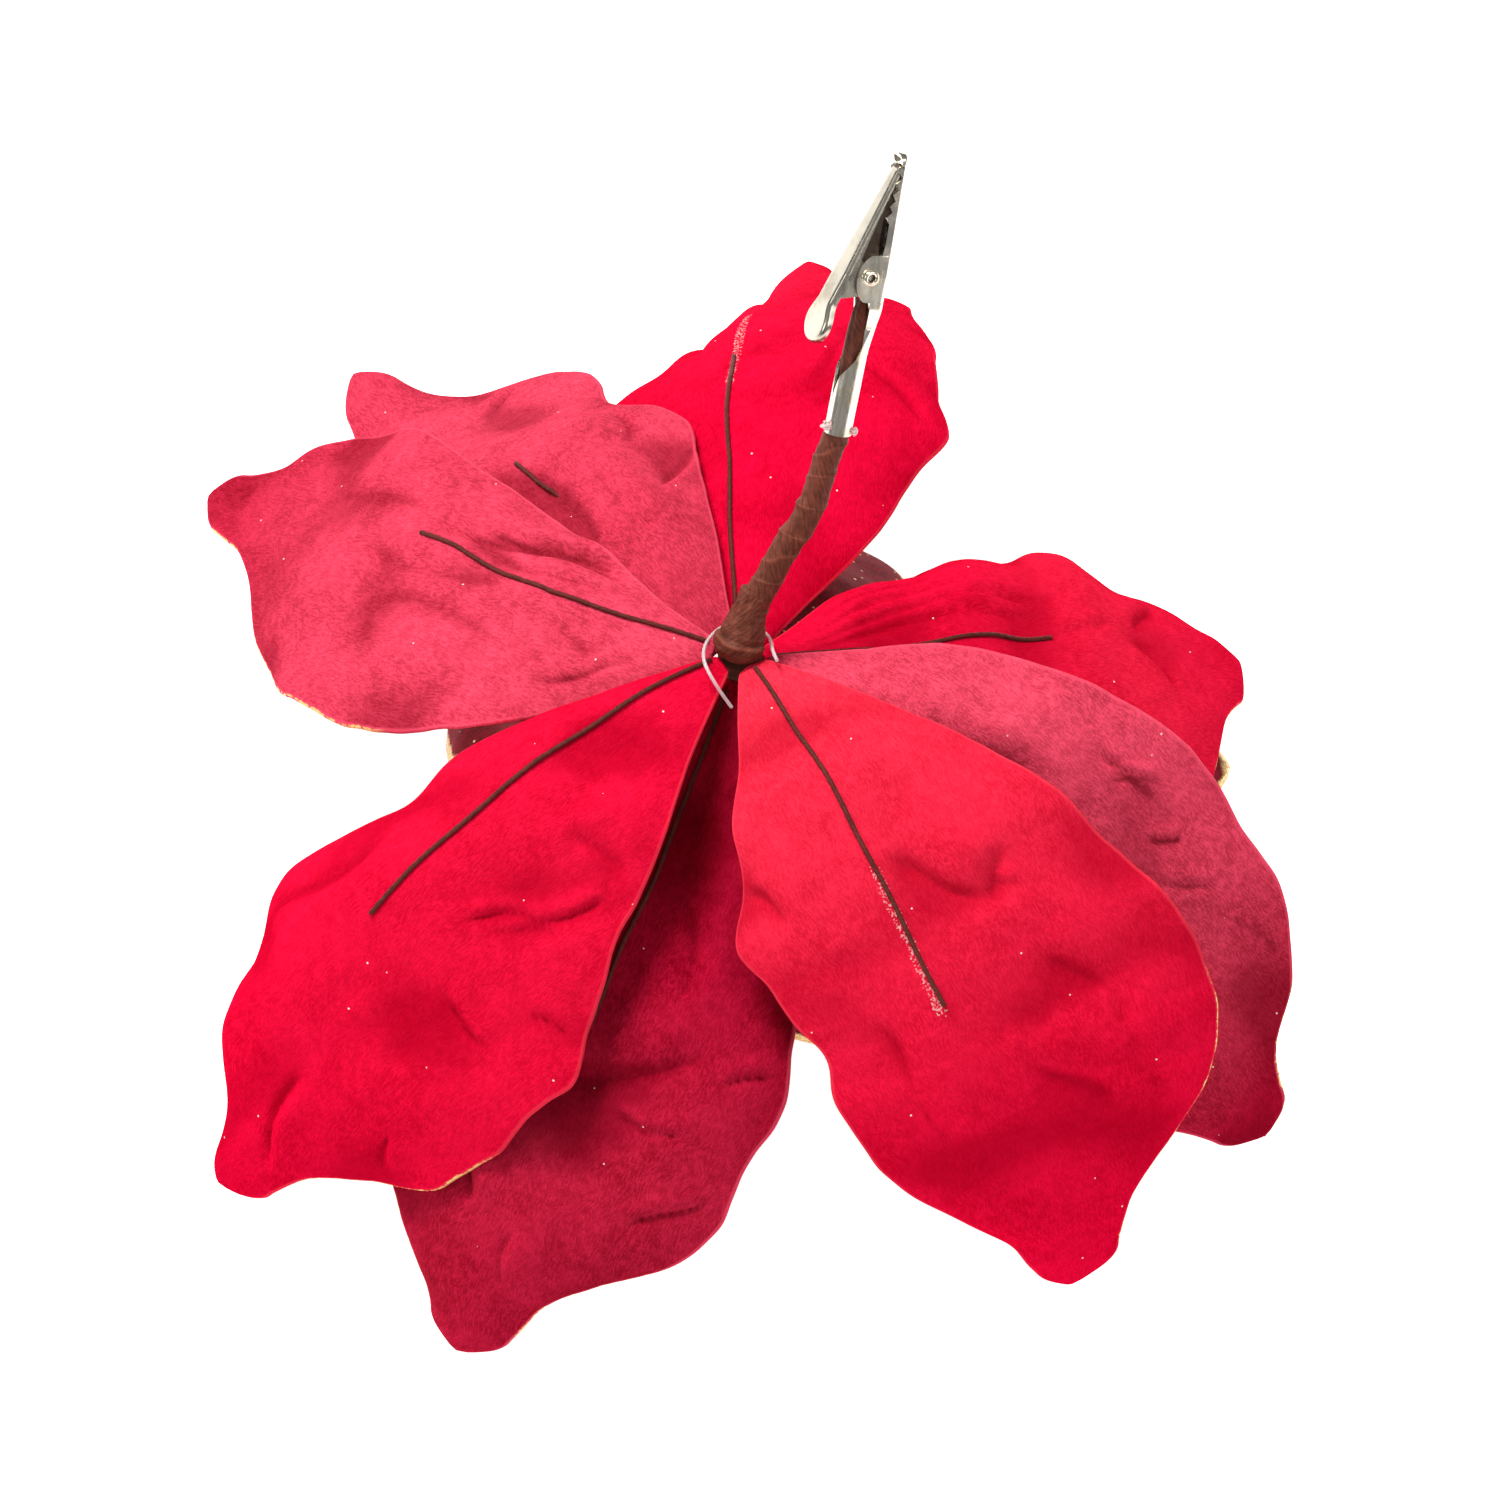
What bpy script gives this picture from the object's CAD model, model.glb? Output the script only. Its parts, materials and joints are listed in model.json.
"""Flower hair clip: an artificial flower of wired velvet petals, face down, on a taped stem with a toothed clip."""
import json
import math

import bmesh
import bpy
import numpy as np
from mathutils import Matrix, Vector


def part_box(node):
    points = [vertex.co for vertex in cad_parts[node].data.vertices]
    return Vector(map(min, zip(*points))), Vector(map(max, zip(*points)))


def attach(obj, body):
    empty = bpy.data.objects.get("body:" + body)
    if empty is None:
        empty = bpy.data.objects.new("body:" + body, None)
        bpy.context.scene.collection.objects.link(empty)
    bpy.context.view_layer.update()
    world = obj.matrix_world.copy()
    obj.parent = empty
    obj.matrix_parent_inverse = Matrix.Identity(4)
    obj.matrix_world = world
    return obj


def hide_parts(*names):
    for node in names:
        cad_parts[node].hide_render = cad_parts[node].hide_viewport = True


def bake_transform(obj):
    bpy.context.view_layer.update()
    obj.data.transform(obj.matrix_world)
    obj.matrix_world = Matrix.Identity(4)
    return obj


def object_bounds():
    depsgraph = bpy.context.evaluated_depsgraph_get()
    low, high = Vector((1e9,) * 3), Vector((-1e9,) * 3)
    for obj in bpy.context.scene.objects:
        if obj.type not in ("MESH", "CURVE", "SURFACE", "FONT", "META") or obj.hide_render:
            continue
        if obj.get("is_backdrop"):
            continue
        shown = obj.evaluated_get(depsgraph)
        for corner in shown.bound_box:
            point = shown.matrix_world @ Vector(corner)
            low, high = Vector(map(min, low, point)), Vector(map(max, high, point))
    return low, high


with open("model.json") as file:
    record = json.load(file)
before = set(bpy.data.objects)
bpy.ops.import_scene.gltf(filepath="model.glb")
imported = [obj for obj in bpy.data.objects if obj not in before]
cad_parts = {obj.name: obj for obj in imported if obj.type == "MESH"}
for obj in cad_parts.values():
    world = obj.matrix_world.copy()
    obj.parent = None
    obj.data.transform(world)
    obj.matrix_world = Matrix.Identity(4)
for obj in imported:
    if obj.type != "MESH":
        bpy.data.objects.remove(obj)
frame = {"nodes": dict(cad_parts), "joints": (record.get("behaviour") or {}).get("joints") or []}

bl_info = {
    "name": "Flower hair clip",
    "version": (1, 0, 0),
    "blender": (4, 5, 0),
    "location": "3D Viewport > Sidebar > Flower Clip",
    "description": "Velvet petals, wires, stamens, taped stem and toothed spring clip",
    "category": "Add Mesh",
}

CAD_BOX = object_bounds()
MM = 0.001
TURN = 2.0 * math.pi

# ------------------------------------------------------------------ the flower's petals
# Angles in degrees, lengths in millimetres, as in the part's own model. az: direction, z0: height of the root,
# R: reach, H: drop of the tip, a0 and a1: slopes at root and tip, sway: sideways bend, roll and twist: lean
# about the centreline, cup: angle of each half's arc, W: half width, w: share of it, flick: lift of the tip,
# skew: how far each side's widest place is moved to the root; cw and ccw: the two sides as seen from the stem.
PETAL_FIELDS = ("az", "z0", "R", "H", "a0", "a1", "sway", "roll", "twist",
                "cup_cw", "cup_ccw", "W", "w_cw", "w_ccw", "flick", "skew_cw", "skew_ccw")
PETALS = {
    "lower_right": (-63.3, 67.2, 105.0, 58.4, -23.0, 73.3, 9.5, 10.6, -8.5,
                    39.7, 13.1, 36.3, 0.72, 1.1, -0.7, 0.2, -0.14),
    "lower_left": (215.8, 67.0, 112.6, 60.4, -18.0, 64.5, 4.6, -8.5, -5.8,
                   74.4, 17.1, 34.6, 0.68, 1.14, -0.5, -0.46, -0.06),
    "left": (158.6, 64.5, 102.1, 40.2, -11.1, 54.3, -16.4, 5.2, -3.9,
             11.8, 18.6, 33.6, 0.63, 1.07, 7.0, -0.48, 0.25),
    "right": (-36.4, 64.0, 109.0, 59.1, -16.6, 48.9, 5.3, 10.9, 2.4,
              29.2, -2.7, 33.3, 1.04, 0.98, -1.9, 0.04, 0.07),
    "bottom": (249.5, 62.7, 111.0, 58.9, 16.8, 55.3, -10.0, 3.5, 5.4,
               26.3, 30.8, 34.0, 1.0, 1.03, -3.7, -0.05, 0.02),
    "upper_left": (131.1, 61.5, 105.1, 54.6, -16.5, 50.0, -5.8, 0.9, -1.6,
                   19.0, 41.0, 34.2, 0.83, 1.01, 11.9, 0.1, 0.05),
    "upper_right": (11.0, 61.5, 89.5, 41.2, 6.7, 55.1, 7.5, -11.4, -0.8,
                    29.0, 42.3, 35.5, 1.03, 1.01, 1.5, -0.18, -0.04),
    "top": (92.3, 58.5, 107.6, 52.9, -6.5, 72.0, -17.1, -7.2, -15.8,
            50.8, 37.7, 35.4, 1.02, 1.01, 11.1, 0.31, -0.11),
}
INNER_PETALS = {
    "east": (8.0, 53.5, 87.0, 48.0, 25.0, 40.0, 0, 0, 0, 35.0, 35.0, 25.0, 1, 1, 0, 0, 0),
    "north": (76.0, 51.3, 62.0, 47.0, 18.0, 62.0, 0, 0, 0, 35.0, 35.0, 24.0, 1, 1, 0, 0, 0),
    "northwest": (150.0, 53.5, 60.0, 49.0, 22.0, 62.0, 0, 0, 0, 35.0, 35.0, 24.0, 1, 1, 0, 0, 0),
    "southwest": (226.0, 51.3, 58.0, 48.0, 22.0, 66.0, 0, 0, 0, 40.0, 36.0, 24.0, 1, 1, 0, 0, 0),
    "south": (298.0, 49.1, 50.0, 45.0, 20.0, 70.0, 0, 0, 0, 36.0, 35.0, 24.0, 1, 1, 0, 0, 0),
}
BRIGHT_PETALS = ("lower_right", "lower_left", "upper_right", "top")
BLADE = [(0.0, 0.07), (0.06, 0.22), (0.14, 0.42), (0.27, 0.70), (0.42, 0.91), (0.55, 1.0), (0.67, 0.98),
         (0.77, 0.84), (0.85, 0.56), (0.905, 0.33), (0.95, 0.24), (0.98, 0.19), (1.0, 0.08)]
INNER_BLADE = [(0.0, 0.08), (0.08, 0.24), (0.2, 0.50), (0.35, 0.78), (0.5, 0.96), (0.62, 1.0), (0.75, 0.90),
               (0.86, 0.64), (0.94, 0.36), (0.98, 0.20), (1.0, 0.10)]
PETAL_BASE_RADIUS = 4.0
HINGE_RADIUS = 5.0
WIRE_REACH = {"lower_right": 0.545, "lower_left": 0.555, "left": 0.50, "right": 0.54, "bottom": 0.575,
              "upper_left": 0.50, "upper_right": 0.52, "top": 0.55}

# How far the wire lies off the centreline at its root, middle and end, in millimetres, and where velvet covers it.
WIRE_SWAY = {"lower_right": (0.0, -0.6, -2.0), "lower_left": (0.0, -1.6, -2.3), "left": (0.0, 3.2, -0.8),
             "right": (0.0, 4.2, 3.5), "bottom": (0.0, 0.0, 0.0), "upper_left": (0.0, 0.0, 0.5),
             "upper_right": (0.0, -0.3, 0.2), "top": (0.0, 1.5, 3.4)}
WIRE_HIDDEN = {"upper_left": 0.41}

# Creases pressed into each velvet sheet: from (along, across) to (along, across), depth and width in millimetres.
CREASES = {
    "lower_right": [((0.36, 0.06), (0.44, 0.36), 0.9, 3.6), ((0.45, 0.36), (0.40, 0.56), 0.7, 2.6),
                    ((0.545, 0.42), (0.60, 0.60), 0.7, 2.4), ((0.66, 0.20), (0.74, 0.46), 0.8, 3.5),
                    ((0.62, 0.62), (0.76, 0.68), 0.6, 2.0), ((0.43, 0.44), (0.445, 0.52), 0.35, 0.6),
                    ((0.30, -0.92), (0.37, -0.62), 0.8, 2.6), ((0.60, 0.14), (0.68, 0.08), 0.35, 0.7),
                    ((0.55, -0.55), (0.70, -0.40), 0.7, 2.4)],
    "lower_left": [((0.47, 0.27), (0.405, 0.56), 0.5, 0.7), ((0.405, 0.56), (0.325, 0.84), 0.55, 0.8),
                   ((0.455, 0.40), (0.40, 0.68), 0.35, 0.7), ((0.57, 0.42), (0.575, 0.66), 0.55, 0.9),
                   ((0.79, 0.12), (0.91, 0.52), 0.75, 1.1), ((0.76, 0.62), (0.81, 0.80), 0.5, 0.8),
                   ((0.30, 0.45), (0.27, 0.85), 0.8, 3.4), ((0.50, 0.72), (0.48, 0.90), 0.45, 1.0),
                   ((0.50, -0.50), (0.68, -0.72), 0.7, 2.2)],
    "left": [((0.46, -0.30), (0.13, -0.36), 0.65, 1.0), ((0.44, -0.46), (0.14, -0.52), 0.65, 1.0),
             ((0.42, -0.62), (0.15, -0.68), 0.45, 1.1), ((0.40, -0.14), (0.13, -0.20), 0.42, 1.0),
             ((0.25, 0.22), (0.155, 0.62), 0.5, 0.8), ((0.22, 0.70), (0.10, 0.72), 0.45, 0.8),
             ((0.17, 0.34), (0.11, 0.62), 0.35, 0.7), ((0.29, 0.40), (0.20, 0.72), 0.35, 1.0),
             ((0.60, 0.10), (0.35, 0.16), 0.45, 2.2), ((0.52, 0.36), (0.30, 0.40), 0.4, 2.0),
             ((0.70, -0.30), (0.42, -0.20), 0.35, 2.2)],
    "right": [((0.43, 0.72), (0.53, 0.66), 0.55, 0.8), ((0.47, 0.62), (0.52, 0.76), 0.4, 0.6),
              ((0.57, 0.52), (0.595, 0.68), 0.45, 0.7), ((0.62, 0.46), (0.67, 0.66), 0.4, 0.8),
              ((0.70, 0.60), (0.79, 0.88), 0.55, 0.9), ((0.30, 0.30), (0.42, 0.34), 0.4, 1.6),
              ((0.55, 0.10), (0.62, 0.40), 0.6, 3.0)],
    "bottom": [((0.585, -0.20), (0.49, 0.56), 0.9, 3.0), ((0.595, 0.26), (0.60, 0.64), 0.5, 0.8),
               ((0.74, 0.62), (0.675, 0.86), 0.6, 0.9), ((0.51, 0.70), (0.475, 0.90), 0.5, 0.8),
               ((0.66, -0.52), (0.78, -0.26), 0.7, 1.2), ((0.80, 0.05), (0.88, 0.22), 0.5, 1.2),
               ((0.30, 0.30), (0.42, 0.42), 0.5, 1.8), ((0.35, -0.45), (0.47, -0.35), 0.5, 1.8)],
    "upper_left": [((0.33, -0.96), (0.255, -0.60), 0.6, 0.9), ((0.45, -0.05), (0.24, 0.24), 0.9, 3.4),
                   ((0.72, -0.30), (0.80, -0.80), 0.5, 1.2), ((0.40, -0.60), (0.50, -0.86), 0.6, 2.6),
                   ((0.36, -0.20), (0.20, -0.30), 0.6, 2.4), ((0.78, 0.10), (0.86, 0.30), 0.5, 1.2)],
    "upper_right": [((0.08, 0.22), (0.50, 0.20), 0.70, 1.2), ((0.08, 0.38), (0.52, 0.36), 0.80, 1.2),
                    ((0.08, 0.54), (0.46, 0.51), 0.80, 1.1), ((0.09, 0.70), (0.42, 0.66), 0.65, 1.1),
                    ((0.74, 0.10), (0.83, 0.46), 0.6, 1.6), ((0.78, -0.30), (0.72, 0.00), 0.6, 1.8),
                    ((0.56, 0.02), (0.66, 0.10), 0.4, 1.0)],
    "top": [((0.62, 0.30), (0.80, 0.60), 0.6, 1.6), ((0.50, -0.55), (0.40, -0.90), 0.6, 1.6),
            ((0.30, 0.10), (0.56, 0.14), 0.4, 2.0), ((0.45, -0.30), (0.60, -0.60), 0.5, 2.2),
            ((0.80, 0.05), (0.88, 0.35), 0.6, 1.4)],
}
CREASE_RELIEF = 2.3
HOLLOW_DEPTH = 0.9
# Waves of the sheets: height, how many, shortest and longest, in millimetres.
BROAD_WAVES = (0.85, 6, 20.0, 42.0)
SMALL_WAVES = (0.09, 6, 6.0, 11.0)
RUFFLE_WAVE = 31.0
RUFFLE_HEIGHT = 0.35
# A sharp fold across a petal: line, slope of the side nearer the root, and how far it reaches in millimetres.
FOLDS = {"right": [((0.100, 1.05), (0.315, 0.20), 0.20, 9.0)]}
# Local changes of a petal's outline: side (1 is counter-clockwise), place along it, its spread there and its
# width in millimetres.
EDGE_LOBES = {
    "lower_right": [(-1, 0.36, 0.07, 4.2), (-1, 0.56, 0.05, -3.2), (1, 0.62, 0.10, 1.8), (-1, 0.75, 0.05, 1.2)],
    "lower_left": [(-1, 0.44, 0.06, -2.6), (-1, 0.66, 0.07, 3.0), (1, 0.52, 0.05, 2.6), (1, 0.34, 0.05, -1.2),
                   (1, 0.80, 0.05, 1.8)],
    "left": [(1, 0.88, 0.05, -1.5), (-1, 0.50, 0.08, -1.0), (-1, 0.86, 0.05, 1.4)],
    "right": [(1, 0.66, 0.07, -2.2), (1, 0.86, 0.04, 2.4), (-1, 0.62, 0.07, 2.0)],
    "bottom": [(1, 0.62, 0.07, -1.8), (1, 0.86, 0.05, -2.0), (-1, 0.70, 0.06, 2.0), (-1, 0.90, 0.04, 1.6)],
    "upper_left": [(-1, 0.36, 0.05, 2.0), (-1, 0.55, 0.08, -5.0), (-1, 0.80, 0.06, 4.0)],
    "upper_right": [(1, 0.50, 0.12, -2.4), (1, 0.86, 0.05, 2.4), (-1, 0.80, 0.05, 2.0)],
    "top": [(1, 0.62, 0.08, 5.5), (1, 0.84, 0.05, -2.5), (-1, 0.56, 0.08, -3.0), (-1, 0.72, 0.06, -4.0),
            (-1, 0.40, 0.05, 2.2)],
}
# Where the pile is brushed up and looks paler: strengths at the four stations BLOOM_AT along the petal.
BLOOM_AT = (0.05, 0.37, 0.68, 0.95)
BLOOM = {
    "lower_right": (0.75, 0.38, 0.05, 0.0), "lower_left": (0.05, 0.10, 0.05, 0.0), "left": (0.85, 0.75, 0.62, 0.20),
    "right": (0.85, 0.95, 0.70, 0.0), "bottom": (0.0, 0.0, 0.12, 0.05), "upper_left": (0.50, 0.60, 0.80, 0.60),
    "upper_right": (0.05, 0.05, 0.28, 0.10), "top": (0.0, 0.0, 0.08, 0.20),
}
# Where glitter of the margin shows on the back at the cut edge: side, from, to along the petal.
GILT = {"left": [(1, 0.45, 1.0)], "lower_left": [(1, 0.70, 0.90), (-1, 0.70, 0.92)],
        "lower_right": [(1, 0.66, 0.98)],
        "bottom": [(-1, 0.62, 1.0), (1, 0.80, 0.95)], "right": [(1, 0.86, 1.0)], "upper_right": [(-1, 0.74, 0.95)]}
# Dried glue beside a wire: from, to along the petal, strength.
GLUE_SMEARS = {"lower_right": [(0.34, 0.56, 0.9)], "lower_left": [(0.50, 0.58, 0.3)],
               "left": [(0.44, 0.53, 0.6), (0.20, 0.26, 0.4)],
               "right": [(0.02, 0.12, 0.2)], "bottom": [(0.54, 0.60, 0.2)], "upper_left": [(0.44, 0.52, 0.5)],
               "upper_right": [(0.46, 0.56, 0.7), (0.10, 0.20, 0.5)], "top": [(0.10, 0.30, 0.5), (0.44, 0.72, 0.9)]}

# ------------------------------------------------------------------ the stem and the clip, in millimetres
CALYX_HEIGHT = 68.8
RUN_LOWER = (0.293, 0.581, 0.760)
RUN_UPPER = (0.435, 0.520, 0.735)
STEM_RUNS = (16.7, 13.9)
# Stem radius at distances from its foot, pitch and edge height of its tape's winding, and how it bows sideways.
STEM_AT = [0, 5, 12, 22]
STEM_RADII = [3.1, 2.62, 2.40, 2.35]
STEM_RADIUS_HIGH = 2.22
TAPE_PITCH = 5.2
TAPE_EDGE = 0.20
STEM_BOW = (2.5, 0.0, 0.0)
# Lumps of the stem: height, distance from the foot, length and direction round it.
STEM_LUMPS = [(0.34, 27.5, 0.8, 1.2), (0.28, 21.5, 0.7, 0.4)]
# Calyx: height over its rim's middle, radius.
CALYX_PROFILE = [(-3.4, 0.0), (-3.3, 2.2), (-2.6, 3.5), (-1.7, 4.05), (-0.9, 4.28), (-0.2, 4.34), (0.45, 4.16),
                 (0.75, 3.86), (0.95, 3.72), (1.5, 3.74), (2.4, 3.55), (3.6, 3.22), (5.0, 2.92), (6.6, 2.70),
                 (8.4, 2.58), (9.4, 2.45), (9.6, 0.0)]
STAMEN_COUNT = 12
CLIP_AXIS = (0.181, 0.607, 0.774)
CLIP_FRONT = 20.0
CLIP_REAR = 27.6
SHEET = 0.45
LEVER_FRONT = 18.1
LEVER_REAR = 12.2
LEVER_SLOPE = 19.9
LEVER_NOSE_TOP = -2.3
LEVER_NOSE_WIDTH = 2.5
LEVER_PIVOT_WIDTH = 4.7
PADDLE_WIDTH = 7.0
PADDLE_START = 6.0
PADDLE_SLOPE = 11.0
LEVER_RIM = 1.35
LEVER_EAR_RADIUS = 1.95
JAW_CLEARANCE = 0.10
JAW_FLOOR = 3.5
TOOTH_PITCH = 1.85
TOOTH_DEPTH = 0.75
TOOTH_COUNT = 5
TOOTH_FRONT = 18.2
TOOTH_RISE = 1.25
TEETH_REAR = TOOTH_FRONT - TOOTH_PITCH * TOOTH_COUNT
BARREL_RADIUS = 2.25
BARREL_AXIS = -JAW_FLOOR + BARREL_RADIUS
BARREL_START = -14.5
# Half angle in degrees that the sheet wraps at distances behind the barrel's start, until its seam closes.
BARREL_CLOSING = [(0.0, 105.0), (1.7, 133.0), (3.2, 158.0), (5.2, 171.0), (7.2, 178.6), (14.0, 179.2)]
# Bulged plate that closes the lower jaw's nose: share of its outline, how far it stands forward.
NOSE_CAP = [(0.0, 0.30), (0.35, 0.29), (0.6, 0.25), (0.8, 0.17), (0.93, 0.06), (0.98, -0.05), (0.93, -0.35),
            (0.5, -0.42), (0.0, -0.42)]
# Stem's end in the trough: half width, half height and rise of its middle at places along the clip.
BUNDLE_AT = [-CLIP_REAR, -17.0, -12.0, -7.0, -4.4]
BUNDLE_WIDE = [1.74, 1.76, 1.95, 1.75, 1.20]
BUNDLE_TALL = [1.74, 1.76, 1.62, 1.35, 0.85]
# Rivet: radii of its shank, its rolled rings' middle and wire, and its bore.
RIVET_SHANK = 0.97
RIVET_RING = 0.98
RIVET_ROLL = 0.37
RIVET_AROUND = 48
SPRING_TURNS = 4
SPRING_RADIUS = 1.15 + 0.3
SPRING_PITCH = 0.60
STRAND_DIAMETER = 0.0006
TAG_ROUTE = [(-1.36, -11.7, 67.0), (-3.05, -10.5, 69.4), (-4.78, -8.6, 71.8), (-5.95, -6.1, 72.2),
             (-6.0, -2.6, 70.6), (-5.1, 1.0, 68.2), (-2.9, 4.9, 65.6), (0.6, 6.2, 64.3), (3.6, 4.7, 64.8),
             (5.2, 1.4, 66.8), (5.3, -2.2, 69.2), (6.1, -5.2, 71.2)]
CAMERA_ELEVATION = 60.0
CAMERA_DISTANCE = 900.0
CAMERA_LENS = 129.6
AIM = (1.6667, 0.0, 60.0)
AIM_DROP = 13.6667
# Lights: name, place in metres, size, power in watts, tint.
LIT_POINT = (0, 0, 0.05)
LIGHTS = [("key", (-0.42, 0.50, 1.15), 0.50, 21.0, (1.0, 0.985, 0.96)),
          ("fill", (0.85, -0.55, 0.85), 0.8, 5.0, (0.97, 0.98, 1.0)),
          ("side", (-1.0, -0.45, 0.75), 0.5, 3.6, (1.0, 1.0, 1.0))]
FLOOR_HALF_SIZE = 2600.0
FLOOR_DROP = 0.8
WORLD_STRENGTH = 0.44


# ------------------------------------------------------------------ settings that a user may change
class PetalSettings(bpy.types.PropertyGroup):
    """Sizes and colours of the velvet petals."""
    thickness: bpy.props.FloatProperty(name="Sheet thickness",
                                       description="Velvet back and glittered face together", default=0.0008,
                                       min=0.0003, max=0.002, unit="LENGTH")
    margin: bpy.props.FloatProperty(name="Glitter margin", description="Width of the gold margin on the face side",
                                    default=0.0026, min=0.0, max=0.01, unit="LENGTH")
    bright: bpy.props.FloatVectorProperty(name="Bright red", description="Back of the bright petals",
                                          subtype="COLOR", size=3, default=(0.74, 0.0008, 0.026), min=0.0, max=1.0)
    crimson: bpy.props.FloatVectorProperty(name="Crimson", description="Back of the crimson petals",
                                           subtype="COLOR", size=3, default=(0.34, 0.0008, 0.014), min=0.0, max=1.0)
    burgundy: bpy.props.FloatVectorProperty(name="Burgundy", description="Face of every petal", subtype="COLOR",
                                            size=3, default=(0.20, 0.001, 0.010), min=0.0, max=1.0)
    wire: bpy.props.FloatProperty(name="Wire diameter", description="Paper-wound wire on each petal's back",
                                  default=0.00080, min=0.0004, max=0.002, unit="LENGTH")


class StemSettings(bpy.types.PropertyGroup):
    """Sizes and colours of the taped stem, the calyx and the flower's centre."""
    upper: bpy.props.FloatProperty(name="Upper diameter", description="Stem at the clip", default=0.0042, min=0.002,
                                   max=0.0045, unit="LENGTH")
    tape: bpy.props.FloatVectorProperty(name="Tape", description="Brown floral tape", subtype="COLOR", size=3,
                                        default=(0.14, 0.036, 0.021), min=0.0, max=1.0)


class ClipSettings(bpy.types.PropertyGroup):
    """Finish and wire sizes of the toothed clip."""
    nickel: bpy.props.FloatVectorProperty(name="Nickel", description="Plated steel", subtype="COLOR", size=3,
                                          default=(0.80, 0.74, 0.63), min=0.0, max=1.0)
    fold: bpy.props.FloatProperty(name="Fold radius", description="Outer radius of the pressed folds",
                                  default=0.00075, min=0.0005, max=0.001, unit="LENGTH")
    spring: bpy.props.FloatProperty(name="Spring wire", description="Diameter of the spring's wire",
                                    default=0.00055, min=0.0003, max=0.0006, unit="LENGTH")


SETTINGS = {"flower_petals": PetalSettings, "flower_stem": StemSettings, "flower_clip": ClipSettings}


# ------------------------------------------------------------------ places from the frame
def joint(name):
    """The named joint of the frame."""
    return next(j for j in frame["joints"] if j["name"] == name)


def flower_origin():
    """Foot of the flower's axis in millimetres: a petal's hinge lies HINGE_RADIUS from the axis at height z0."""
    at = np.array(joint("petal_top_lift")["pos_m"]) / MM
    az, z0 = math.radians(PETALS["top"][0]), PETALS["top"][1]
    return at - np.array([HINGE_RADIUS * math.cos(az), HINGE_RADIUS * math.sin(az), z0])


def unit(v):
    """The vector scaled to length one."""
    v = np.asarray(v, float)
    return v / np.linalg.norm(v)


ORIGIN = flower_origin()
CALYX = ORIGIN + np.array([0.0, 0.0, CALYX_HEIGHT])
STEM_BEND = np.array(joint("stem_bend")["pos_m"]) / MM
PIVOT = np.array(joint("lever_pivot")["pos_m"]) / MM
CLIP_X = unit(CLIP_AXIS)
CLIP_Y = -unit(joint("lever_pivot")["axis"])
CLIP_Z = np.cross(CLIP_X, CLIP_Y)


def clip_to_world(points):
    """Clip coordinates (x to the nose, y across, z to the lever, from the rivet's middle) as world millimetres."""
    points = np.asarray(points, float)
    return PIVOT + points[..., :1] * CLIP_X + points[..., 1:2] * CLIP_Y + points[..., 2:3] * CLIP_Z


# ------------------------------------------------------------------ mesh helpers
def smooth(a, b, x):
    """Smooth step from 0 at a to 1 at b."""
    t = np.clip((x - a) / (b - a), 0.0, 1.0)
    return t * t * (3.0 - 2.0 * t)


def table_curve(table, x):
    """Smooth curve through the table that never overshoots it: cubic pieces with harmonic-mean slopes."""
    xs, ys = np.array(table).T
    h = np.diff(xs)
    d = np.diff(ys) / h
    a, b = 2 * h[1:] + h[:-1], h[1:] + 2 * h[:-1]
    same = d[:-1] * d[1:] > 0
    inner = np.where(same, (a + b) / (a / np.where(same, d[:-1], 1) + b / np.where(same, d[1:], 1)), 0.0)
    m = np.concatenate([[d[0]], inner, [d[-1]]])
    k = np.clip(np.searchsorted(xs, x, side="right") - 1, 0, len(h) - 1)
    t = (x - xs[k]) / h[k]
    return ((1 + 2 * t) * (1 - t) ** 2 * ys[k] + t * (1 - t) ** 2 * h[k] * m[k]
            + t * t * (3 - 2 * t) * ys[k + 1] + t * t * (t - 1) * h[k] * m[k + 1])


def grid_faces(rows, columns, wrap_rows=False, wrap_columns=False, start=0):
    """Quads of a grid of points numbered row by row, closed on itself where asked."""
    i = np.arange(rows if wrap_rows else rows - 1)[:, None]
    j = np.arange(columns if wrap_columns else columns - 1)[None, :]
    i2, j2 = (i + 1) % rows, (j + 1) % columns
    quads = stacked(i * columns + j, i2 * columns + j, i2 * columns + j2, i * columns + j2)
    return quads.reshape(-1, 4) + start


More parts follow.
